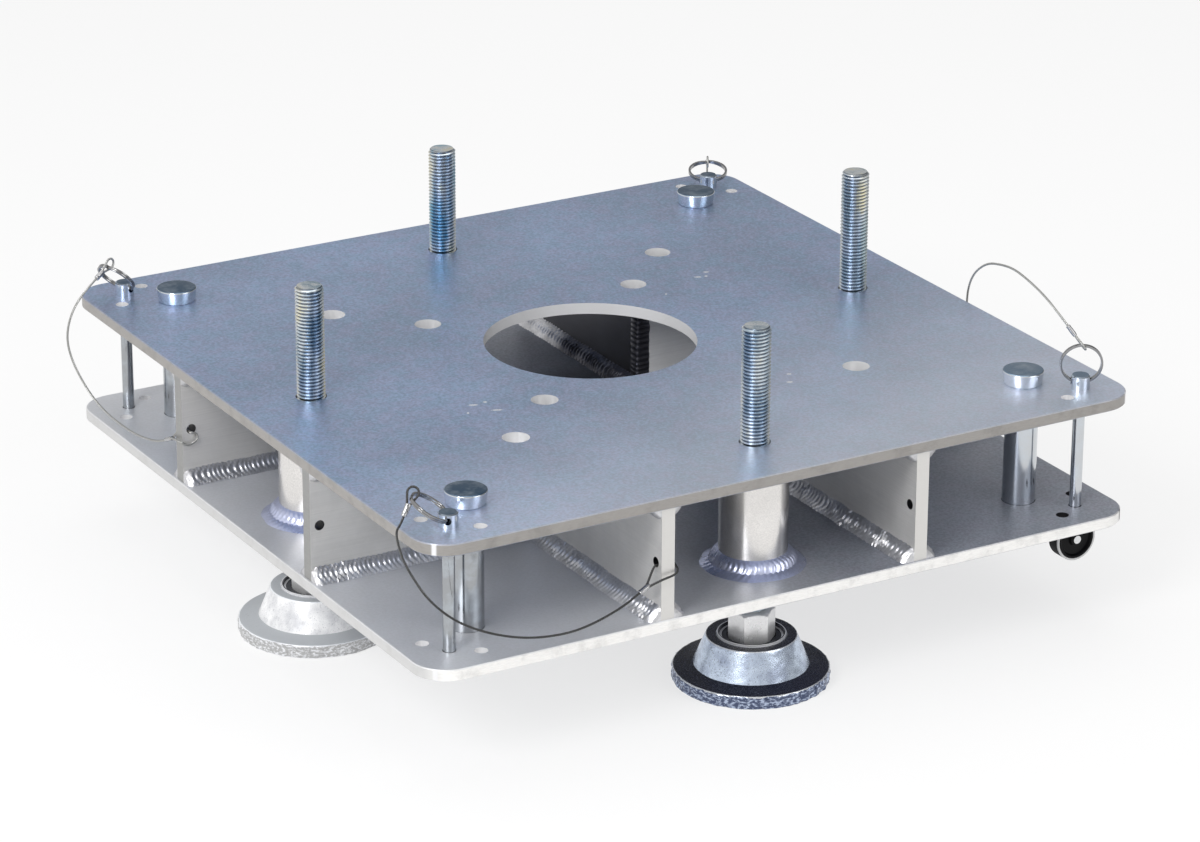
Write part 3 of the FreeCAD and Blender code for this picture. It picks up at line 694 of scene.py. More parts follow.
# One rope wire in a shaded copy, for the front lanyard, and a lit copy
SHADED_ROPE = Finish("shaded_lanyard_wire", (0.09, 0.09, 0.09), metallic=0.9, roughness=0.30, grain=2500.0)
LIT_ROPE = Finish("lit_lanyard_wire", (0.46, 0.46, 0.445), metallic=0.8, roughness=0.30, grain=2500.0)
CRIMP = Finish("crimp_sleeve", (0.50, 0.50, 0.51), roughness=0.22, grain=1200.0)
HUB = Finish("hub_plastic", (0.005, 0.005, 0.006), metallic=0.0, roughness=0.30, specular=0.12)
TYRE = Tread("tyre_rubber", (0.010, 0.010, 0.011), metallic=0.0, roughness=0.7, specular=0.2)
AXLE = Finish("axle_steel", (0.75, 0.76, 0.77), roughness=0.25)


# Shapes


def polar(radius: float, angle: float, height: float = 0.0) -> Vector:
    """A point by its distance from an upright axis, its angle and its height."""
    return Vector((radius * math.cos(angle), radius * math.sin(angle), height))


def placed(name: str, data: bpy.types.ID) -> bpy.types.Object:
    """Makes an object and puts it in the scene.

    Args:
        name: The object's name.
        data: Its mesh, curve, lamp or camera.

    Returns:
        The object, at the origin.
    """
    thing = bpy.data.objects.new(name, data)
    bpy.context.scene.collection.objects.link(thing)
    return thing


class Shape:
    """The points and faces of one piece, gathered form by form."""

    def __init__(self) -> None:
        """Starts with nothing."""
        self.points: list[Vector] = []
        self.faces: list[tuple[int, ...]] = []

    def rows(self, rows: Sequence[Sequence[Vector]], around: bool = True, ends: bool = False) -> None:
        """Skins rows of points with quads.

        Args:
            rows: Rows with the same number of points.
            around: Whether each row closes on itself.
            ends: Whether the first and last rows are filled.
        """
        start = len(self.points)
        width = len(rows[0])
        for row in rows:
            self.points.extend(row)
        steps = width if around else width - 1
        for high in range(len(rows) - 1):
            low = start + high * width
            for step in range(steps):
                after = (step + 1) % width
                self.faces.append((low + step, low + after, low + width + after, low + width + step))
        if ends:
            last = start + (len(rows) - 1) * width
            self.faces.append(tuple(range(start + width - 1, start - 1, -1)))
            self.faces.append(tuple(range(last, last + width)))

    def turned(self, outline: Sequence[tuple[float, float]], steps: int = 64,
               place: Matrix | None = None, uneven: Callable[[Vector], float] | None = None) -> None:
        """Turns an outline about its Z axis.

        Args:
            outline: Pairs of radius and height, open or closed.
            steps: Steps round the axis.
            place: Where the axis goes.
            uneven: Gives each point's push along its radius.
        """
        made = []
        for radius, height in outline:
            row = []
            for step in range(steps):
                point = polar(1.0, 2 * math.pi * step / steps)
                push = 0.0
                if uneven and radius > 0:
                    push = uneven(Vector((radius * point.x, radius * point.y, height)))
                point = point * (radius + push) + UP * height
                row.append(place @ point if place else point)
            made.append(row)
        self.rows(made)

    def piece(self, name: str, material: bpy.types.Material, sharp: float = 35.0) -> bpy.types.Object:
        """Makes the object: joins touching points, drops empty faces and smooths.

        Args:
            name: The piece's name.
            material: What it is made of.
            sharp: Edges bent by more degrees than this stay sharp.

        Returns:
            The new object, at the origin.
        """
        mesh = bpy.data.meshes.new(name)
        mesh.from_pydata([tuple(point) for point in self.points], [], self.faces)
        work = bmesh.new()
        work.from_mesh(mesh)
        bmesh.ops.remove_doubles(work, verts=work.verts, dist=2e-6)
        bmesh.ops.dissolve_degenerate(work, edges=work.edges, dist=1e-6)
        bmesh.ops.recalc_face_normals(work, faces=work.faces)
        work.to_mesh(mesh)
        work.free()
        mesh.shade_smooth()
        mesh.set_sharp_from_angle(angle=math.radians(sharp))
        thing = placed(name, mesh)
        mesh.materials.append(material)
        LOG.info("%s: %d faces", name, len(mesh.polygons))
        return thing


def stand_in(piece: bpy.types.Object, node: str, body: str) -> None:
    """Puts a finished piece in a CAD node's place.

    Args:
        piece: The piece.
        node: The node that it stands for.
        body: The body that it rides on.
    """
    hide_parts(node)
    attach(piece, body)


def eased(outline: Sequence[tuple[float, float]], reach: float, steps: int = 3) -> list[tuple[float, float]]:
    """Rounds the corners of an open outline.

    Args:
        outline: Pairs of radius and height.
        reach: How far from each corner the round starts.
        steps: Points on each round, less one.

    Returns:
        The finer outline.
    """
    spots = [Vector(pair) for pair in outline]
    made = [tuple(spots[0])]
    for before, corner, after in zip(spots, spots[1:], spots[2:]):
        into, out = before - corner, after - corner
        near = min(reach, into.length * 0.45, out.length * 0.45)
        first = corner + into.normalized() * near
        last = corner + out.normalized() * near
        for step in range(steps + 1):
            t = step / steps
            spot = first * (1 - t) ** 2 + corner * (2 * t * (1 - t)) + last * t ** 2
            made.append(tuple(spot))
    made.append(tuple(spots[-1]))
    return made


def sliced(outline: Sequence[tuple[float, float]], step: float) -> list[tuple[float, float]]:
    """Divides an outline's long runs, so that unevenness shows on them.

    Args:
        outline: Pairs of radius and height.
        step: The longest run left.

    Returns:
        The finer outline.
    """
    made = [outline[0]]
    for first, last in zip(outline, outline[1:]):
        count = max(1, math.ceil((Vector(last) - Vector(first)).length / step))
        for part in range(1, count + 1):
            made.append(tuple(Vector(first).lerp(Vector(last), part / count)))
    return made


def axes(x_axis: Vector, y_axis: Vector, z_axis: Vector, origin: Vector) -> Matrix:
    """The matrix of three unit axes and an origin."""
    return Matrix((*zip(x_axis, y_axis, z_axis, origin), (0.0, 0.0, 0.0, 1.0)))


def upright(x: float, y: float) -> Matrix:
    """A vertical axis through a spot on the floor."""
    return Matrix.Translation((x, y, 0.0))


def smooth_line(name: str, points: Sequence[Vector], spans: int = 12) -> list[Vector]:
    """The line of a NURBS spline over control points, read from a curve with no bevel.

    Args:
        name: The passing curve's name.
        points: The control points.
        spans: Steps for each control point.

    Returns:
        Points along the line, close together.
    """
    curve = bpy.data.curves.new(name, "CURVE")
    curve.dimensions = "3D"
    curve.resolution_u = spans
    spline = curve.splines.new("NURBS")
    spline.points.add(len(points) - 1)
    for slot, point in zip(spline.points, points):
        slot.co = (*point, 1.0)
    spline.order_u = 3
    spline.use_endpoint_u = True
    holder = placed(name, curve)
    graph = bpy.context.evaluated_depsgraph_get()
    line = bpy.data.meshes.new_from_object(holder.evaluated_get(graph))
    made = [vertex.co.copy() for vertex in line.vertices]
    bpy.data.meshes.remove(line)
    bpy.data.objects.remove(holder)
    bpy.data.curves.remove(curve)
    return made


def length_of(line: Sequence[Vector]) -> float:
    """The length along a line of points."""
    return sum((after - before).length for before, after in zip(line, line[1:]))


def evened(line: Sequence[Vector], step: float) -> list[Vector]:
    """Points spaced evenly along a smooth line.

    Args:
        line: Close points along it.
        step: About how far apart the new points are.

    Returns:
        The new points, with the same ends.
    """
    whole = length_of(line)
    count = max(2, round(whole / step))
    made, walked, index = [line[0].copy()], 0.0, 0
    for part in range(1, count):
        target = whole * part / count
        while walked + (line[index + 1] - line[index]).length < target:
            walked += (line[index + 1] - line[index]).length
            index += 1
        run = line[index + 1] - line[index]
        made.append(line[index] + run * ((target - walked) / run.length))
    made.append(line[-1].copy())
    return made


@dataclass(frozen=True)
class Strands:
    """Wire rope: strands laid round each other."""

    radius: float = 0.001
    count: int = 6
    lay: float = 0.011
    step: float = 0.0011
    valley: float = 0.72
    crest: float = 0.28

    def skin(self, shape: Shape, line: Sequence[Vector], turned_from: float = 0.0) -> None:
        """Adds the rope along a line.

        Args:
            shape: The piece that it joins.
            line: Close points along the rope.
            turned_from: The length of rope before this line, which sets the strands' turn.
        """
        line = evened(line, self.step)
        columns = self.count * 4
        heading = (line[1] - line[0]).normalized()
        side = heading.orthogonal().normalized()
        rows = []
        walked = turned_from
        for index, point in enumerate(line):
            before, after = line[max(0, index - 1)], line[min(len(line) - 1, index + 1)]
            heading = (after - before).normalized()
            side = (side - heading * side.dot(heading)).normalized()
            other = heading.cross(side)
            if index:
                walked += (point - line[index - 1]).length
            row = []
            for step in range(columns):
                angle = 2 * math.pi * step / columns
                lobe = abs(math.cos(self.count / 2 * angle))
                radius = self.radius * (self.valley + self.crest * lobe)
                angle += 2 * math.pi * walked / self.lay
                row.append(point + side * (radius * math.cos(angle)) + other * (radius * math.sin(angle)))
            rows.append(row)
        shape.rows(rows, ends=True)


def scale_at(beat: float) -> float:
    """The height, from 0 to 1, of a weld's overlapping scales: a slow rise and a steep fall."""
    phase = beat % 1.0
    return min(phase / 0.78, (1.0 - phase) / 0.22)


@dataclass(frozen=True)
class Bead:
    """A weld bead with the overlapping ripples of its puddle."""

    leg: float = 0.008
    crown: float = 0.0011
    ripple: float = 0.0007
    pitch: float = 0.0056
    step: float = 0.0010
    across: int = 8

    def lift(self, u: float, ridge: float, strong: float = 1.0) -> float:
        """How far the face stands out, at a share of the way across and on a ridge's height."""
        ripple = (ridge - 0.55) * self.ripple * strong * min(1.0, min(u, 1 - u) * 7)
        return self.crown * 4 * u * (1 - u) + ripple

    def row(self, corner: Vector, leg_a: Vector, leg_b: Vector, walked: float, seed: float) -> list[Vector]:
        """One cross section, from the root round the face.

        Args:
            corner: The root of the joint here.
            leg_a: Unit vector along the first face.
            leg_b: Unit vector along the second face.
            walked: How far along the bead this is.
            seed: Makes each bead's unevenness its own.

        Returns:
            Its points.
        """
        out = (leg_a + leg_b).normalized()
        sway = scatter.noise(Vector((walked * 70.0, seed, 0.3)))
        strong = 0.35 + 1.9 * abs(scatter.noise(Vector((walked * 60.0, seed, 3.3))))
        drift = scatter.noise(Vector((walked * 45.0, seed, 7.1)))
        row = [corner.copy()]
        for index in range(self.across + 1):
            u = index / self.across
            lag = 4 * (u - 0.5) ** 2 * 1.5
            ridge = scale_at(walked / self.pitch + lag + drift)
            toe = self.leg * (0.93 + 0.10 * ridge)
            base = leg_a * (toe * (1 + 0.08 * sway) * (1 - u)) + leg_b * (toe * (1 - 0.08 * sway) * u)
            row.append(corner + base + out * self.lift(u, ridge, strong))
        return row

    def run(self, shape: Shape, start: Vector, along: Vector, length: float, leg_a: Vector,
            leg_b: Vector) -> None:
        """Adds a straight bead.

        Args:
            shape: The piece that it joins.
            start: Where its root starts.
            along: Unit vector along it.
            length: Its length.
            leg_a: Unit vector along the first face.
            leg_b: Unit vector along the second face.
        """
        count = max(2, round(length / self.step))
        seed = start.x * 31.0 + start.y * 17.0 + start.z * 53.0 + along.x * 5.0
        rows = []
        for index in range(count + 1):
            walked = length * index / count
            taper = min(1.0, 0.35 + 1.6 * min(walked, length - walked) / self.leg)
            small = replace(
                self, leg=self.leg * taper ** 0.35, crown=self.crown * taper, ripple=self.ripple * taper,
            )
            rows.append(small.row(start + along * walked, leg_a, leg_b, walked, seed))
        shape.rows(rows, ends=True)

    def loop(self, shape: Shape, centre: Vector, radius: float, rise: float, tall: float) -> None:
        """Adds a bead round a tube.

        Args:
            shape: The piece that it joins.
            centre: The tube's axis at the plate's face.
            radius: The tube's radius.
            rise: 1 where the tube stands on the face, -1 where it hangs from it.
            tall: The leg up the tube, as a share of the leg out.
        """
        around = 2 * math.pi * (radius + self.leg / 2)
        count = round(around / self.step)
        ripples = max(1, round(around / self.pitch))
        rows = []
        for index in range(count):
            out = polar(1.0, 2 * math.pi * index / count)
            wobble = 1 + 0.10 * scatter.noise(out * 2.6 + centre * 9.0)
            row = [centre + out * radius]
            for part in range(self.across + 1):
                u = part / self.across
                lift = self.lift(u, scale_at(ripples * index / count + 4 * (u - 0.5) ** 2 * 1.1))
                flat = out * (self.leg * wobble * (1 - u)) + UP * (rise * self.leg * tall * u)
                row.append(centre + out * radius + flat + (out + UP * rise).normalized() * lift)
            rows.append(row)
        rows.append(rows[0])
        shape.rows(rows)


# Sub-assemblies


@dataclass
class Deck:
    """The plates and webs, whose solids keep their shape and take a finish."""

    plates: tuple[tuple[str, Finish], ...] = (("top_plate", PLATE), ("bottom_plate", LOW_PLATE))

    def build(self) -> None:
        """Dresses the plates, webs and wheel lugs."""
        for node, finish in self.plates:
            dress_node(node, finish)
        for corner in CORNER_SIGNS:
            # The back corner's webs take painted shade and a painted highlight
            dress_node(f"web_{corner}_long", SHADED_CORE_BAR if corner == "back" else BAR)
            dress_node(f"web_{corner}_butt", PAINTED_GLARE_BAR if corner == "back" else BAR)
        dress_node("wheel_brackets", BAR)
        dress_node("wheel_axles", AXLE)
        LOG.info("plates, webs and wheel lugs dressed")


def dress_node(node: str, finish: Finish) -> None:
    """Gives a CAD node its finish."""
    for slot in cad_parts[node].material_slots:
        slot.material = finish.material()


# The nose bead's outline, in millimetres from the inner faces of both webs
NOSE = (
    (-0.2, 11.5), (-0.9, 9.5), (-1.3, 6.5), (-1.4, 3.5), (-1.1, 1.0), (-0.6, -0.6), (1.0, -1.1),
    (3.5, -1.4), (6.5, -1.3), (9.5, -0.9), (12.0, -0.2), (7.0, 3.0), (5.0, 5.0), (3.0, 7.0),
)


@dataclass
class WebWelds:
    """The rippled beads along the webs."""

    inner: float = 0.1135
    outer: float = 0.1255
    nose_rows: int = 90
    nose_pitch: float = 0.0048
    low_bead: Bead = Bead(leg=0.0118, crown=0.0014, ripple=0.0010, pitch=0.0046, step=0.00085, across=9)
    high_bead: Bead = Bead(leg=0.0090, crown=0.0012, ripple=0.0009, pitch=0.0052, step=0.0015)

    def build(self) -> None:
        """Lays every bead and replaces the plain ones."""
        shape = Shape()
        for turn in CORNER_TURNS.values():
            spin = Matrix.Rotation(math.radians(turn), 3, "Z")
            self.nose(shape, spin)
            for spot, along, length, leg_a, leg_b in self.beads():
                at_foot = along != UP and spot.z < WEB_HOLE_Z
                bead = self.low_bead if at_foot else self.high_bead
                bead.run(shape, spin @ spot, spin @ along, length, spin @ leg_a, spin @ leg_b)
        piece = shape.piece("web_weld_beads", WELD.material(), 60.0)
        stand_in(piece, "web_welds", Body.FRAME.at())

    def nose(self, shape: Shape, spin: Matrix) -> None:
        """Adds the upright bead that wraps the nose where two webs meet.

        Args:
            shape: The piece that it joins.
            spin: The turn from the back corner.
        """
        low, high = LOW_TOP_Z + 0.005, HIGH_LOW_Z - 0.005
        seed = spin @ Vector((1.0, 2.0, 0.0))
        rows = []
        for index in range(self.nose_rows + 1):
            z = low + (high - low) * index / self.nose_rows
            drift = 0.4 * scatter.noise(Vector((z * 50.0, seed.x, seed.y)))
            push = 0.45 + 0.75 * abs(math.sin(math.pi * (z / self.nose_pitch + drift)))
            row = []
            for spot, (x, y) in enumerate(NOSE):
                toe = 1.0 + 0.10 * scatter.noise(Vector((z * 110.0, spot * 0.2, seed.y)))
                x = x * push if x < 0 else x * toe
                y = y * push if y < 0 else y * toe
                row.append(spin @ Vector((self.inner + x / 1000, self.inner + y / 1000, z)))
            rows.append(row)
        shape.rows(rows, ends=True)

    def beads(self) -> list[tuple[Vector, Vector, float, Vector, Vector]]:
        """The back corner's beads.

        Returns:
            Each bead's start, direction, length and two legs.
        """
        x, y = Vector((1.0, 0.0, 0.0)), Vector((0.0, 1.0, 0.0))
        pocket, bay = WEB_END - self.outer, WEB_END - self.inner
        found = [(Vector((self.outer, self.outer, LOW_TOP_Z)), UP.copy(), HIGH_LOW_Z - LOW_TOP_Z, x, y)]
        for z, rise in ((LOW_TOP_Z, UP), (HIGH_LOW_Z, -UP)):
            inside = Vector((self.outer, self.outer, z))
            nose = Vector((self.inner, self.inner, z))
            found += [(inside, y, pocket, x, rise), (inside, x, pocket, y, rise)]
            found += [(nose, y, bay, -x, rise), (nose, x, bay, -y, rise)]
        return found


# Outlines of the cast foot's disc and cone: pairs of radius and height
FOOT_RIM = ((0.055, 0.0), (0.065, 0.0), (0.065, 0.0115), (0.058, 0.0125))
FOOT_TOP = ((0.0477, 0.014), (0.0470, 0.0142))
FOOT_CONE = (
    (0.0478, 0.0139), (0.0375, 0.0393), (0.0285, 0.0393), (0.0285, 0.0362), (0.0227, 0.0362),
    (0.0227, 0.0284),
)


@dataclass
class Jack:
    """A levelling jack: sleeve and nut in the frame, screw and foot below."""

    side: str
    rise: float
    skin: Finish = SHADED_FOOT
    screw_r: float = 0.012
    root_r: float = 0.0102
    pitch: float = 0.003
    crest: float = 0.0625
    flank: float = 0.3125
    spigot_low: float = 0.0186
    collar_low: float = 0.0283
    collar_top: float = 0.0359
    collar_r: float = 0.0224
    hexagon_low: float = 0.0355
    hexagon_top: float = 0.062
    across_flats: float = 0.034
    chamfer_r: float = 0.0172
    hexagon_turn: float = 10.0
    columns: int = 48
    disc_columns: int = 400
    cone_columns: int = 128

    def build(self) -> None:
        """Builds the sleeve's looks, the screw and the foot."""
        dress_node(f"jack_sleeve_{self.side}", TUBE)
        dress_node(f"jack_nut_{self.side}", NUT)
        self.screw()
        self.foot()
        LOG.info("jack %s built", self.side)

    def place(self) -> Matrix:
        """The jack's upright axis."""
        return upright(*JACK_SPOTS[self.side])

    def thread_radius(self, phase: float) -> float:
        """The thread's radius at a share of its pitch from a crest.

        Args:
            phase: The share, in turns.

        Returns:
            The radius there.
        """
        away = abs(phase - round(phase))
        depth = min(1.0, max(0.0, (away - self.crest) / self.flank))
        return self.screw_r - (self.screw_r - self.root_r) * depth

    def thread(self, shape: Shape) -> None:
        """Adds the threaded bar, its chamfered tip and its flat end.

        Args:
            shape: The piece that it joins.
        """
        low, tip = self.hexagon_top - 0.001, TOP_Z + self.rise
        flat_r = self.screw_r - 0.002
        phases = (-0.0625, 0.0625, 0.21875, 0.375, 0.625, 0.78125)
        turns = math.ceil((tip - low) / self.pitch) + 2
        place = self.place()
        start = low - self.pitch
        made = []
        for turn in range(turns):
            for phase in phases:
                row = []
                for column in range(self.columns + 1):
                    share = column / self.columns
                    z = start + self.pitch * (turn + phase + share)
                    radius = min(self.thread_radius(phase), flat_r + max(0.0, tip - z))
                    z = min(max(z, low), tip)
                    row.append(place @ polar(radius, 2 * math.pi * share, z))
                made.append(row)
        shape.rows(made, around=False)
        shape.turned([(flat_r, tip), (flat_r * 0.9, tip), (0.0, tip)], self.columns, place)

    def screw(self) -> None:
        """Builds the screw: spigot, collar, hexagon and thread."""
        shape = Shape()
        self.thread(shape)
        place = self.place()
        shape.turned([
            (0.0, self.spigot_low), (self.screw_r, self.spigot_low), (self.screw_r, self.collar_low),
            (self.collar_r, self.collar_low), (self.collar_r, self.collar_top), (0.0, self.collar_top),
        ], self.columns, place)
        levels = (
            (self.hexagon_low, 1.0),
            (self.hexagon_top - 0.0016, 1.0),
            (self.hexagon_top - 0.0008, self.chamfer_r + 0.0010),
            (self.hexagon_top, self.chamfer_r - 0.0005),
        )
        rows = []
        for height, limit in levels:
            row = []
            for column in range(60):
                angle = math.radians(self.hexagon_turn + 6.0 * column)
                off = (6.0 * column + 30.0) % 60.0 - 30.0
                radius = min(self.across_flats / 2 / math.cos(math.radians(off)), limit)
                row.append(place @ polar(radius, angle, height))
            rows.append(row)
        rows.append([place @ Vector((0.0, 0.0, self.hexagon_top))] * 60)
        shape.rows(rows)
        zinc = ZincThread(
            f"zinc_thread_{self.side}", (0.80, 0.85, 0.88), roughness=0.22, deep=ZINC_TINTS[self.side],
            axis=JACK_SPOTS[self.side],
        )
        piece = shape.piece(f"threaded_screw_{self.side}", zinc.material(), 25.0)
        piece.data.materials.append(HEXAGON.material())
        piece.data.materials.append(COLLAR_SHADOW.material())
        # Faces up to the collar's top take the painted shadow; the hexagon takes its zinc
        for face in piece.data.polygons:
            if face.center.z < self.collar_top + 0.0003:
                face.material_index = 2
            elif face.center.z < self.hexagon_top + 0.0003:
                face.material_index = 1
        stand_in(piece, f"jack_screw_{self.side}", Body.SCREW.at(self.side))

    def hammered(self, point: Vector) -> float:
        """The casting's unevenness, strongest round the disc's edge.

        Args:
            point: A point, from the jack's axis.

        Returns:
            How far it is pushed out.
        """
        spot = point + Vector(JACK_SPOTS[self.side]).to_3d()
        rim = 1.0 if point.z < 0.0108 and point.xy.length > 0.060 else 0.2
        return rim * (0.0009 * scatter.noise(spot * 170.0) + 0.0006 * scatter.noise(spot * 380.0))

    def foot(self) -> None:
        """Builds the cast foot and its banded retaining ring."""
        place = self.place()
        disc = Shape()
        outline = [(0.0, 0.0), *sliced(eased(FOOT_RIM, 0.0018), 0.0009), *FOOT_TOP]
        disc.turned(outline, self.disc_columns, place, self.hammered)
        cone = Shape()
        outline = sliced(eased(FOOT_CONE, 0.0012), 0.0015)
        cone.turned(outline, self.cone_columns, place, self.hammered)
        for form, shape in (("disc", disc), ("cone", cone)):
            piece = shape.piece(f"foot_{form}_{self.side}", self.skin.material(), 50.0)
            stand_in(piece, f"foot_pad_{self.side}", Body.FOOT.at(self.side))
        # The foot's ring carries painted highlights and painted shade
        bands = Banded(
            f"banded_ring_{self.side}", (0.95, 0.95, 0.96), metallic=0.5, roughness=0.25,
            axis=JACK_SPOTS[self.side],
        )
        dress_node(f"foot_ring_{self.side}", bands)


@dataclass
class SleeveWelds:
    """The rippled welds round the jack sleeves."""

    sleeve_r: float = 0.0285
    wide: Bead = Bead(leg=0.0150, crown=0.0010, ripple=0.0005, pitch=0.0050)
    heavy: Bead = Bead(leg=0.0088, crown=0.0017, ripple=0.0010, pitch=0.0046)
    light: Bead = Bead(leg=0.006, crown=0.0008, ripple=0.0006, pitch=0.0045)

    def build(self) -> None:
        """Lays a wide and a heavy bead at each sleeve's foot and a light one at its head."""
        shape = Shape()
        for x, y in JACK_SPOTS.values():
            self.wide.loop(shape, Vector((x, y, LOW_TOP_Z)), self.sleeve_r, 1.0, 0.40)
            self.heavy.loop(shape, Vector((x, y, LOW_TOP_Z + 0.001)), self.sleeve_r, 1.0, 1.30)
            self.light.loop(shape, Vector((x, y, HIGH_LOW_Z)), self.sleeve_r, -1.0, 1.0)
        piece = shape.piece("sleeve_weld_beads", BLUISH_WELD.material(), 60.0)
        stand_in(piece, "sleeve_welds", Body.FRAME.at())


@dataclass(frozen=True)
class Lean:
    """How a split ring leans from its pin, and how its rope eye lies on it."""

    compass: float
    slope: float
    out: float
    rise: float
    side: float
    slip: float
    lead: float = 0.013


# How each corner's ring leans: a compass bearing and a slope in degrees, then the eye on it
LEANS = {
    "front": Lean(149.9, 32.0, 0.35, -0.79, -0.50, -0.0036, 0.007),
    "left": Lean(203.7, 50.0, 0.902, -0.432, 0.0, -0.0039),
    "right": Lean(60.0, 97.0, 0.30, 0.74, -0.60, 0.0003),
    "back": Lean(59.9, 12.0, 0.95, -0.312, 0.0, -0.0038),
}

# The side of its web, along the plate's edge, where each corner's rope leaves
WEB_EYE_SIDES = {"back": 1.0, "left": 1.0, "front": 1.0, "right": -1.0}

# Control points of each rope, from its ring's eye to its web's
ROUTES = {
    "front": [
        (-0.3408, -0.2940, 0.2110), (-0.3440, -0.3045, 0.2030), (-0.3450, -0.3160, 0.1935),
        (-0.3425, -0.3260, 0.1840), (-0.3385, -0.3360, 0.1735), (-0.3300, -0.3425, 0.1625),
        (-0.3175, -0.3465, 0.1515), (-0.3010, -0.3485, 0.1415), (-0.2810, -0.3495, 0.1325),
        (-0.2590, -0.3485, 0.1250), (-0.2360, -0.3460, 0.1200), (-0.2120, -0.3425, 0.1175),
        (-0.1910, -0.3390, 0.1190), (-0.1730, -0.3355, 0.1220),
    ],
    "left": [
        (-0.3520, 0.2775, 0.2150), (-0.3580, 0.2805, 0.1985), (-0.3590, 0.2835, 0.1815),
        (-0.3565, 0.2815, 0.1650), (-0.3530, 0.2720, 0.1500), (-0.3500, 0.2555, 0.1375),
        (-0.3470, 0.2340, 0.1290), (-0.3430, 0.2100, 0.1245), (-0.3395, 0.1910, 0.1225),
        (-0.3355, 0.1735, 0.1230),
    ],
    "right": [
        (0.2830, -0.2620, 0.2800), (0.2880, -0.2325, 0.2830), (0.2960, -0.1980, 0.2820),
        (0.3060, -0.1640, 0.2735), (0.3180, -0.1285, 0.2615), (0.3300, -0.0955, 0.2430),
        (0.3380, -0.0755, 0.2270), (0.3430, -0.0640, 0.2120), (0.3465, -0.0580, 0.1980),
        (0.3500, -0.0530, 0.1810), (0.3515, -0.0500, 0.1650), (0.3500, -0.0510, 0.1500),
        (0.3455, -0.0560, 0.1375), (0.3390, -0.0670, 0.1285),
    ],
    "back": [
        (0.3315, 0.3550, 0.1995), (0.3340, 0.3615, 0.1865), (0.3320, 0.3660, 0.1725),
        (0.3245, 0.3670, 0.1585), (0.3110, 0.3645, 0.1465), (0.2930, 0.3600, 0.1370),
        (0.2710, 0.3545, 0.1295), (0.2470, 0.3495, 0.1240), (0.2210, 0.3445, 0.1205),
        (0.1970, 0.3400, 0.1195), (0.1760, 0.3360, 0.1215),
    ],
}

# How the left corner's rope hangs outside its web before it comes round: out and up from the hole
BIGHT = ((-0.0035, -0.0035), (-0.0045, -0.0085), (0.0005, -0.0125), (0.0070, -0.0125))


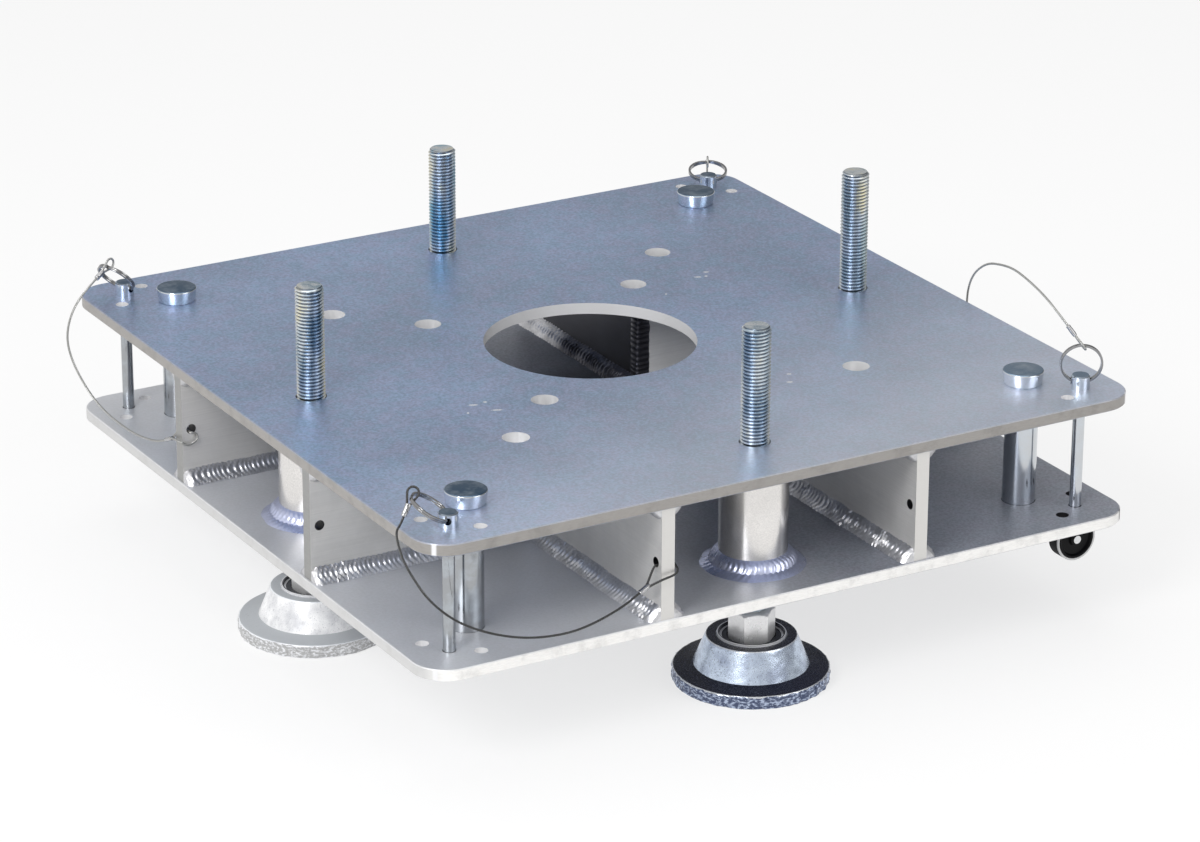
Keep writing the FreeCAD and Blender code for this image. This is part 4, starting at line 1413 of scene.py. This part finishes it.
@dataclass
class LockSet:
    """A corner's pins, split ring and lanyard."""

    corner: str
    anchor_offset: float = 0.263
    pin_r: float = 0.014
    head_low_r: float = 0.016
    head_top_r: float = 0.0175
    head_height: float = 0.012
    index_radius: float = 0.048
    cross_hole_up: float = 0.0065
    ring_outer: float = 0.018
    ring_wire: float = 0.0020
    ring_width: float = 0.0034
    ring_throw: float = 0.01593
    eye_r: float = 0.0045
    eye_length: float = 0.013
    leg_gap: float = 0.00115
    leg_tuck: float = 0.002
    crimp_length: float = 0.0105
    crimp_start: float = 0.0095
    crimp_wide: float = 0.00245
    crimp_thick: float = 0.00195
    crimp_rows: int = 26
    crimp_columns: int = 24
    web_lead: float = 0.013
    web_off: float = 0.1195
    web_half: float = 0.006
    web_hole_inset: float = 0.0085
    web_lean: Place = (0.12, 0.90, 0.42)
    web_crimp_at: Place = (0.0075, 0.018, -0.0155)
    web_crimp_length: float = 0.011
    share_with_pin: float = 0.30

    def __post_init__(self) -> None:
        """Works out where the ring, the eyes and the rope's ends are."""
        sx, sy = CORNER_SIGNS[self.corner]
        lean = LEANS[self.corner]
        compass, slope = math.radians(lean.compass), math.radians(lean.slope)
        offset = self.anchor_offset + self.index_radius * math.cos(math.radians(45.0))
        self.hole = Vector((sx * offset, sy * offset, TOP_Z + self.cross_hole_up))
        out = polar(1.0, compass)
        self.hinge = out.cross(UP)
        self.far = out * math.cos(slope) + UP * math.sin(slope)
        self.heading = (out * lean.out + UP * lean.rise + self.hinge * lean.side).normalized()
        tip = self.hole + self.far * (self.ring_throw + self.ring_outer - self.ring_wire / 2)
        self.eye = tip + self.heading * lean.slip
        self.across = self.hinge.cross(self.heading).normalized()
        self.rope_start = self.eye + self.heading * (self.crimp_start + self.crimp_length)
        spin = Matrix.Rotation(math.radians(CORNER_TURNS[self.corner]), 3, "Z")
        self.web_hole = spin @ Vector((self.web_off, WEB_HOLE_AT, WEB_HOLE_Z))
        self.web_out = spin @ Vector((0.0, 1.0, 0.0))
        self.web_across = spin @ Vector((WEB_EYE_SIDES[self.corner], 0.0, 0.0))
        along, aside, drop = self.web_lean
        self.web_heading = (self.web_out * along + self.web_across * aside - UP * drop).normalized()
        self.web_start = self.web_spot(*self.web_crimp_at)
        self.rope_stop = self.web_start + self.web_heading * (self.web_crimp_length - self.leg_tuck)

    def web_spot(self, along: float, aside: float, rise: float) -> Vector:
        """A point so far out past the web's hole, towards the rope's side and up."""
        return self.web_hole + self.web_out * along + self.web_across * aside + UP * rise

    def build(self) -> None:
        """Builds the corner's pins, ring, eyes and rope."""
        # The right corner's pins take the lit copy of the chrome
        finish = LIT_PIN if self.corner == "right" else PIN
        self.anchor_pin(finish)
        dress_node(f"lock_pin_{self.corner}", finish)
        self.split_ring()
        self.rope()
        LOG.info("pins and lanyard at the %s corner built", self.corner)

    def anchor_pin(self, finish: Finish) -> None:
        """Turns the heavy pin with its tapered head.

        Args:
            finish: What it is plated with.
        """
        sx, sy = CORNER_SIGNS[self.corner]
        tip, top = UNDERSIDE_Z + 0.001, TOP_Z + self.head_height
        outline = [
            (0.0, tip), (self.pin_r - 0.0025, tip), (self.pin_r, tip + 0.0025), (self.pin_r, TOP_Z),
            (self.head_low_r, TOP_Z), (self.head_top_r, top - 0.001), (self.head_top_r - 0.001, top),
            (0.0, top),
        ]
        shape = Shape()
        shape.turned(eased(outline, 0.0006), 96, upright(sx * self.anchor_offset, sy * self.anchor_offset))
        piece = shape.piece(f"plated_pin_{self.corner}", finish.material())
        stand_in(piece, f"anchor_pin_{self.corner}", Body.ANCHOR.at(self.corner))

    def split_ring(self) -> None:
        """Winds two turns of flat wire side by side."""
        centre = self.hole + self.far * self.ring_throw
        axle = self.hinge.cross(self.far)
        place = axes(self.hinge, self.far, axle, centre)
        inner, outer = self.ring_outer - self.ring_wire, self.ring_outer
        wide = self.ring_width / 2 - 0.00004
        soft = 0.00035
        section = eased([(inner + soft, 0.0), (inner, 0.0), (inner, wide), (outer, wide), (outer, 0.0),
                         (inner + soft, 0.0)], soft, 2)
        steps = 96
        cross_from, cross_over = 0.86, 0.28
        rows = []
        for index in range(2 * steps + 1):
            turn = index / steps
            slide = min(1.0, max(0.0, (turn - cross_from) / cross_over))
            shift = (slide * slide * (3 - 2 * slide) - 1) * self.ring_width / 2
            angle = 2 * math.pi * turn + math.pi / 2
            rows.append([place @ polar(radius, angle, shift + z) for radius, z in section])
        shape = Shape()
        shape.rows(rows, ends=True)
        piece = shape.piece(f"key_ring_{self.corner}", SPRING.material(), 40.0)
        stand_in(piece, f"split_ring_{self.corner}", Body.RING.at(self.corner))

    def ring_loop(self) -> list[Vector]:
        """Control points of the rope's loop round the split ring.

        Returns:
            The points, from leg to leg.
        """
        reach = self.eye_r ** 2 / self.eye_length
        half = self.eye_r * math.sqrt(1 - (self.eye_r / self.eye_length) ** 2)
        leg_end = self.eye_length - self.leg_gap / (half / (self.eye_length - reach))
        first = math.degrees(math.acos(self.eye_r / self.eye_length))
        part = (360.0 - 2 * first) / 5
        tucked = leg_end + self.leg_tuck
        spots = [(tucked, self.leg_gap), (leg_end, self.leg_gap), (reach * 1.6, half * 0.97)]
        wide = self.eye_r / math.cos(math.radians(part / 2))
        for index in range(5):
            angle = math.radians(first + part * (index + 0.5))
            spots.append((wide * math.cos(angle), wide * math.sin(angle)))
        spots += [(reach * 1.6, -half * 0.97), (leg_end, -self.leg_gap), (tucked, -self.leg_gap)]
        return [self.eye + self.heading * along + self.across * aside for along, aside in spots]

    def web_loop(self) -> list[Vector]:
        """Control points of the rope's loop through the web's hole and round its end.

        Returns:
            The points, from leg to leg.
        """
        beside = self.web_half + 0.003
        beyond = self.web_hole_inset + 0.0035
        slack = 0.0019
        sideways = self.web_heading.cross(UP).normalized() * self.leg_gap
        legs = [self.web_start - sideways, self.web_start + sideways]
        legs.sort(key=lambda leg: (leg - self.web_spot(slack, beside, -slack)).length)
        bight = []
        if self.corner == "left":
            bight = [self.web_spot(along, -beside, rise) for along, rise in BIGHT]
        return [
            legs[0] + self.web_heading * self.leg_tuck,
            legs[0],
            self.web_spot(slack, beside, -slack),
            self.web_spot(slack, 0.0055, -slack),
            self.web_spot(slack, -0.0055, -slack),
            self.web_spot(slack, -beside, -slack),
            *bight,
            self.web_spot(beyond, -beside, -0.008),
            self.web_spot(beyond + 0.0005, beside, -0.0105),
            legs[1],
            legs[1] + self.web_heading * self.leg_tuck,
        ]

    def crimp(self, name: str, start: Vector, heading: Vector, legs: Vector,
              length: float) -> bpy.types.Object:
        """Presses an oval sleeve over the two legs of an eye.

        Args:
            name: The piece's name.
            start: Its inner end.
            heading: Unit vector along it.
            legs: Unit vector from leg to leg.
            length: Its length.

        Returns:
            The crimp.
        """
        shape = Shape()
        place = axes(legs, heading.cross(legs).normalized(), heading, start)
        rows = []
        for index in range(self.crimp_rows + 1):
            share = index / self.crimp_rows
            end = min(share, 1 - share) * length / 0.0006
            full = math.sqrt(1 - (1 - min(1.0, end)) ** 2) * 0.18 + 0.82
            press = 0.10 * max(0.0, math.sin(math.pi * (share * 3.0 + 0.25))) ** 4
            wide = self.crimp_wide * full * (1 + press * 0.5)
            thick = self.crimp_thick * full * (1 - press)
            row = []
            for step in range(self.crimp_columns):
                angle = 2 * math.pi * step / self.crimp_columns
                row.append(place @ Vector((wide * math.cos(angle), thick * math.sin(angle), share * length)))
            rows.append(row)
        shape.rows(rows, ends=True)
        return shape.piece(name, CRIMP.material(), 50.0)

    def loop_piece(self, name: str, points: Sequence[Vector]) -> bpy.types.Object:
        """One loop of stranded rope.

        Args:
            name: The piece's name.
            points: Its control points.

        Returns:
            The loop.
        """
        shape = Shape()
        Strands(step=0.0007).skin(shape, smooth_line(name + "_line", points))
        return shape.piece(name, self.wire(), 60.0)

    def wire(self) -> bpy.types.Material:
        """The rope's material: a shaded copy at the front, a lit copy elsewhere."""
        return (SHADED_ROPE if self.corner == "front" else LIT_ROPE).material()

    def rope(self) -> None:
        """Builds the lanyard, its two eyes and its two crimps."""
        corner = self.corner
        ring_loop = self.loop_piece(f"ring_loop_{corner}", self.ring_loop())
        ring_crimp = self.crimp(
            f"ring_crimp_{corner}", self.eye + self.heading * self.crimp_start, self.heading,
            self.across, self.crimp_length,
        )
        web_loop = self.loop_piece(f"web_loop_{corner}", self.web_loop())
        web_crimp = self.crimp(
            f"web_crimp_{corner}", self.web_start - self.web_heading * self.leg_tuck, self.web_heading,
            self.web_heading.cross(UP).normalized(), self.web_crimp_length,
        )
        stand_in(ring_loop, f"lanyard_eye_{corner}", Body.RING.at(corner))
        stand_in(ring_crimp, f"lanyard_eye_{corner}", Body.RING.at(corner))
        stand_in(web_loop, "lanyard_web_eyes", Body.FRAME.at())
        stand_in(web_crimp, "lanyard_web_eyes", Body.FRAME.at())

        points = [self.rope_start, self.rope_start + self.heading * LEANS[corner].lead]
        points += [Vector(point) for point in ROUTES[corner]]
        points += [self.rope_stop + self.web_heading * self.web_lead, self.rope_stop]
        line = evened(smooth_line(f"route_{corner}", points), 0.001)
        split = round(len(line) * self.share_with_pin)
        self.stretch("upper", line[: split + 1], 0.0)
        self.stretch("lower", line[split:], length_of(line[: split + 1]))

    def stretch(self, name: str, line: Sequence[Vector], walked: float) -> None:
        """Builds one stretch of the rope.

        Args:
            name: Which stretch.
            line: Close points along it, from the ring's side.
            walked: The rope's length before it.
        """
        shape = Shape()
        Strands().skin(shape, line, walked)
        piece = shape.piece(f"rope_{name}_{self.corner}", self.wire(), 60.0)
        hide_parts(f"lanyard_{self.corner}")
        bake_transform(piece)


@dataclass
class Wheel:
    """A transport wheel: a dished hub and a grey tread."""

    corner: str
    side: float
    x: float = 0.299
    z: float = 0.072
    outer_face: float = 0.2987
    width: float = 0.014
    radius: float = 0.019
    tread: float = 0.0019
    bore: float = 0.00255

    def build(self) -> None:
        """Builds the hub and the tread."""
        low = self.side * (self.outer_face - self.width)
        outward = Vector((0.0, self.side, 0.0))
        place = axes(UP.cross(outward) * -1.0, UP, outward, Vector((self.x, low, self.z)))
        wide, rim = self.width, self.radius - self.tread
        hub = Shape()
        hub.turned(eased([
            (self.bore, 0.0), (rim, 0.0), (rim, wide), (rim - 0.0018, wide), (rim - 0.0030, wide - 0.0030),
            (0.0062, wide - 0.0030), (0.0052, wide), (self.bore, wide), (self.bore, 0.0),
        ], 0.0004), 72, place)
        tread = Shape()
        tread.turned(eased([
            (rim, 0.0), (self.radius, 0.0), (self.radius, wide), (rim, wide), (rim, 0.0),
        ], 0.0016, 5), 96, place)
        body = Body.WHEEL.at(self.corner)
        hub_piece = hub.piece(f"dished_hub_{self.corner}", HUB.material())
        stand_in(hub_piece, f"wheel_hub_{self.corner}", body)
        tread_piece = tread.piece(f"tread_{self.corner}", TYRE.material())
        stand_in(tread_piece, f"wheel_tyre_{self.corner}", body)


# The studio


@dataclass
class Studio:
    """The floor, the soft light and the camera."""

    eye: Place = (-1.8562, -3.2194, 1.6091)
    target: Place = (-0.02521, -0.06032, 0.15973)
    roll: float = 0.223
    lens: float = 140.25
    floor_colour: Colour = (0.90, 0.90, 0.90)
    level: float = 0.80
    left_light: float = 1.15
    right_light: float = 0.36
    white_share: float = 0.68
    lamps: tuple[tuple[str, Place, float, float], ...] = (
        ("key", (-2.6, -1.5, 2.3), 1.3, 62.0),
        ("fill", (1.4, -2.6, 1.9), 1.8, 22.0),
        ("top", (0.2, 0.5, 2.8), 2.2, 18.0),
    )

    def build(self) -> None:
        """Sets up everything round the object."""
        self.camera()
        self.floor()
        self.sky()
        for lamp in self.lamps:
            self.lamp(*lamp)
        bpy.context.scene.view_settings.view_transform = "Standard"
        LOG.info("studio built")

    def camera(self) -> None:
        """Places the camera where the photograph was taken from."""
        data = bpy.data.cameras.new("view")
        data.lens = self.lens
        data.sensor_width = 36.0
        data.sensor_fit = "HORIZONTAL"
        data.clip_end = 60.0
        holder = placed("view", data)
        look = Vector(self.target) - Vector(self.eye)
        turn = look.to_track_quat("-Z", "Y").to_matrix() @ Matrix.Rotation(math.radians(self.roll), 3, "Z")
        holder.matrix_world = Matrix.Translation(self.eye) @ turn.to_4x4()
        bpy.context.scene.camera = holder

    def floor(self) -> None:
        """Lays the plain pale floor."""
        shape = Shape()
        shape.rows([[Vector((x, y, 0.0)) for x in (-14.0, 14.0)] for y in (-14.0, 14.0)], around=False)
        paper = bpy.data.materials.new("paper")
        paper.use_nodes = True
        bench = Bench(paper.node_tree)
        bench.feed(bench.shader, Base_Color=self.floor_colour, Roughness=0.9, Specular_IOR_Level=0.1)
        rays = bench.add("ShaderNodeLightPath").outputs
        seen = bench.sum("MAXIMUM", rays["Is Camera Ray"], rays["Is Glossy Ray"])
        seen = bench.sum("MAXIMUM", seen, rays["Is Transmission Ray"])
        white = bench.add("ShaderNodeEmission")
        mixer = bench.add("ShaderNodeMixShader")
        bench.tree.links.new(bench.sum("MULTIPLY", seen, self.white_share), mixer.inputs[0])
        bench.tree.links.new(bench.shader.outputs[0], mixer.inputs[1])
        bench.tree.links.new(white.outputs[0], mixer.inputs[2])
        output = next(node for node in paper.node_tree.nodes if node.type == "OUTPUT_MATERIAL")
        bench.tree.links.new(mixer.outputs[0], output.inputs[0])
        shape.piece("floor", paper)

    def sky(self) -> None:
        """Lights the studio from all round, more from the left."""
        world = bpy.data.worlds.new("studio")
        world.use_nodes = True
        tree = world.node_tree
        ground = tree.nodes["Background"]
        place = tree.nodes.new("ShaderNodeTexCoord")
        parts = tree.nodes.new("ShaderNodeSeparateXYZ")
        tree.links.new(place.outputs["Generated"], parts.inputs[0])
        fade = tree.nodes.new("ShaderNodeMapRange")
        ends = {"From Min": -0.9, "From Max": 0.9, "To Min": self.left_light, "To Max": self.right_light}
        for name, value in ends.items():
            fade.inputs[name].default_value = value
        tree.links.new(parts.outputs[0], fade.inputs["Value"])
        tree.links.new(fade.outputs[0], ground.inputs["Strength"])
        ground.inputs["Color"].default_value = (self.level, self.level, self.level, 1.0)
        bpy.context.scene.world = world

    def lamp(self, name: str, place: Place, size: float, power: float) -> None:
        """Hangs a square soft lamp that faces the object.

        Args:
            name: The lamp's name.
            place: Where it hangs.
            size: The length of its sides.
            power: Its power in watts.
        """
        data = bpy.data.lights.new(name, "AREA")
        data.size = size
        data.energy = power
        holder = placed(name, data)
        turn = (Vector((0.0, 0.0, 0.15)) - Vector(place)).to_track_quat("-Z", "Y")
        holder.matrix_world = Matrix.Translation(place) @ turn.to_matrix().to_4x4()


def main() -> None:
    """Builds the studio and every piece."""
    logging.basicConfig(level=logging.INFO, format="%(message)s")
    Studio().build()
    for corner in CORNER_SIGNS:
        LockSet(corner).build()
    Deck().build()
    WebWelds().build()
    SleeveWelds().build()
    # The west foot takes the sunlit copy of the casting
    Jack("west", 0.097, SUNLIT_FOOT).build()
    for side, rise in (("north", 0.095), ("east", 0.1075), ("south", 0.0995)):
        Jack(side, rise).build()
    for corner, side in (("right", -1.0), ("back", 1.0)):
        Wheel(corner, side).build()


if __name__ == "__main__":
    main()
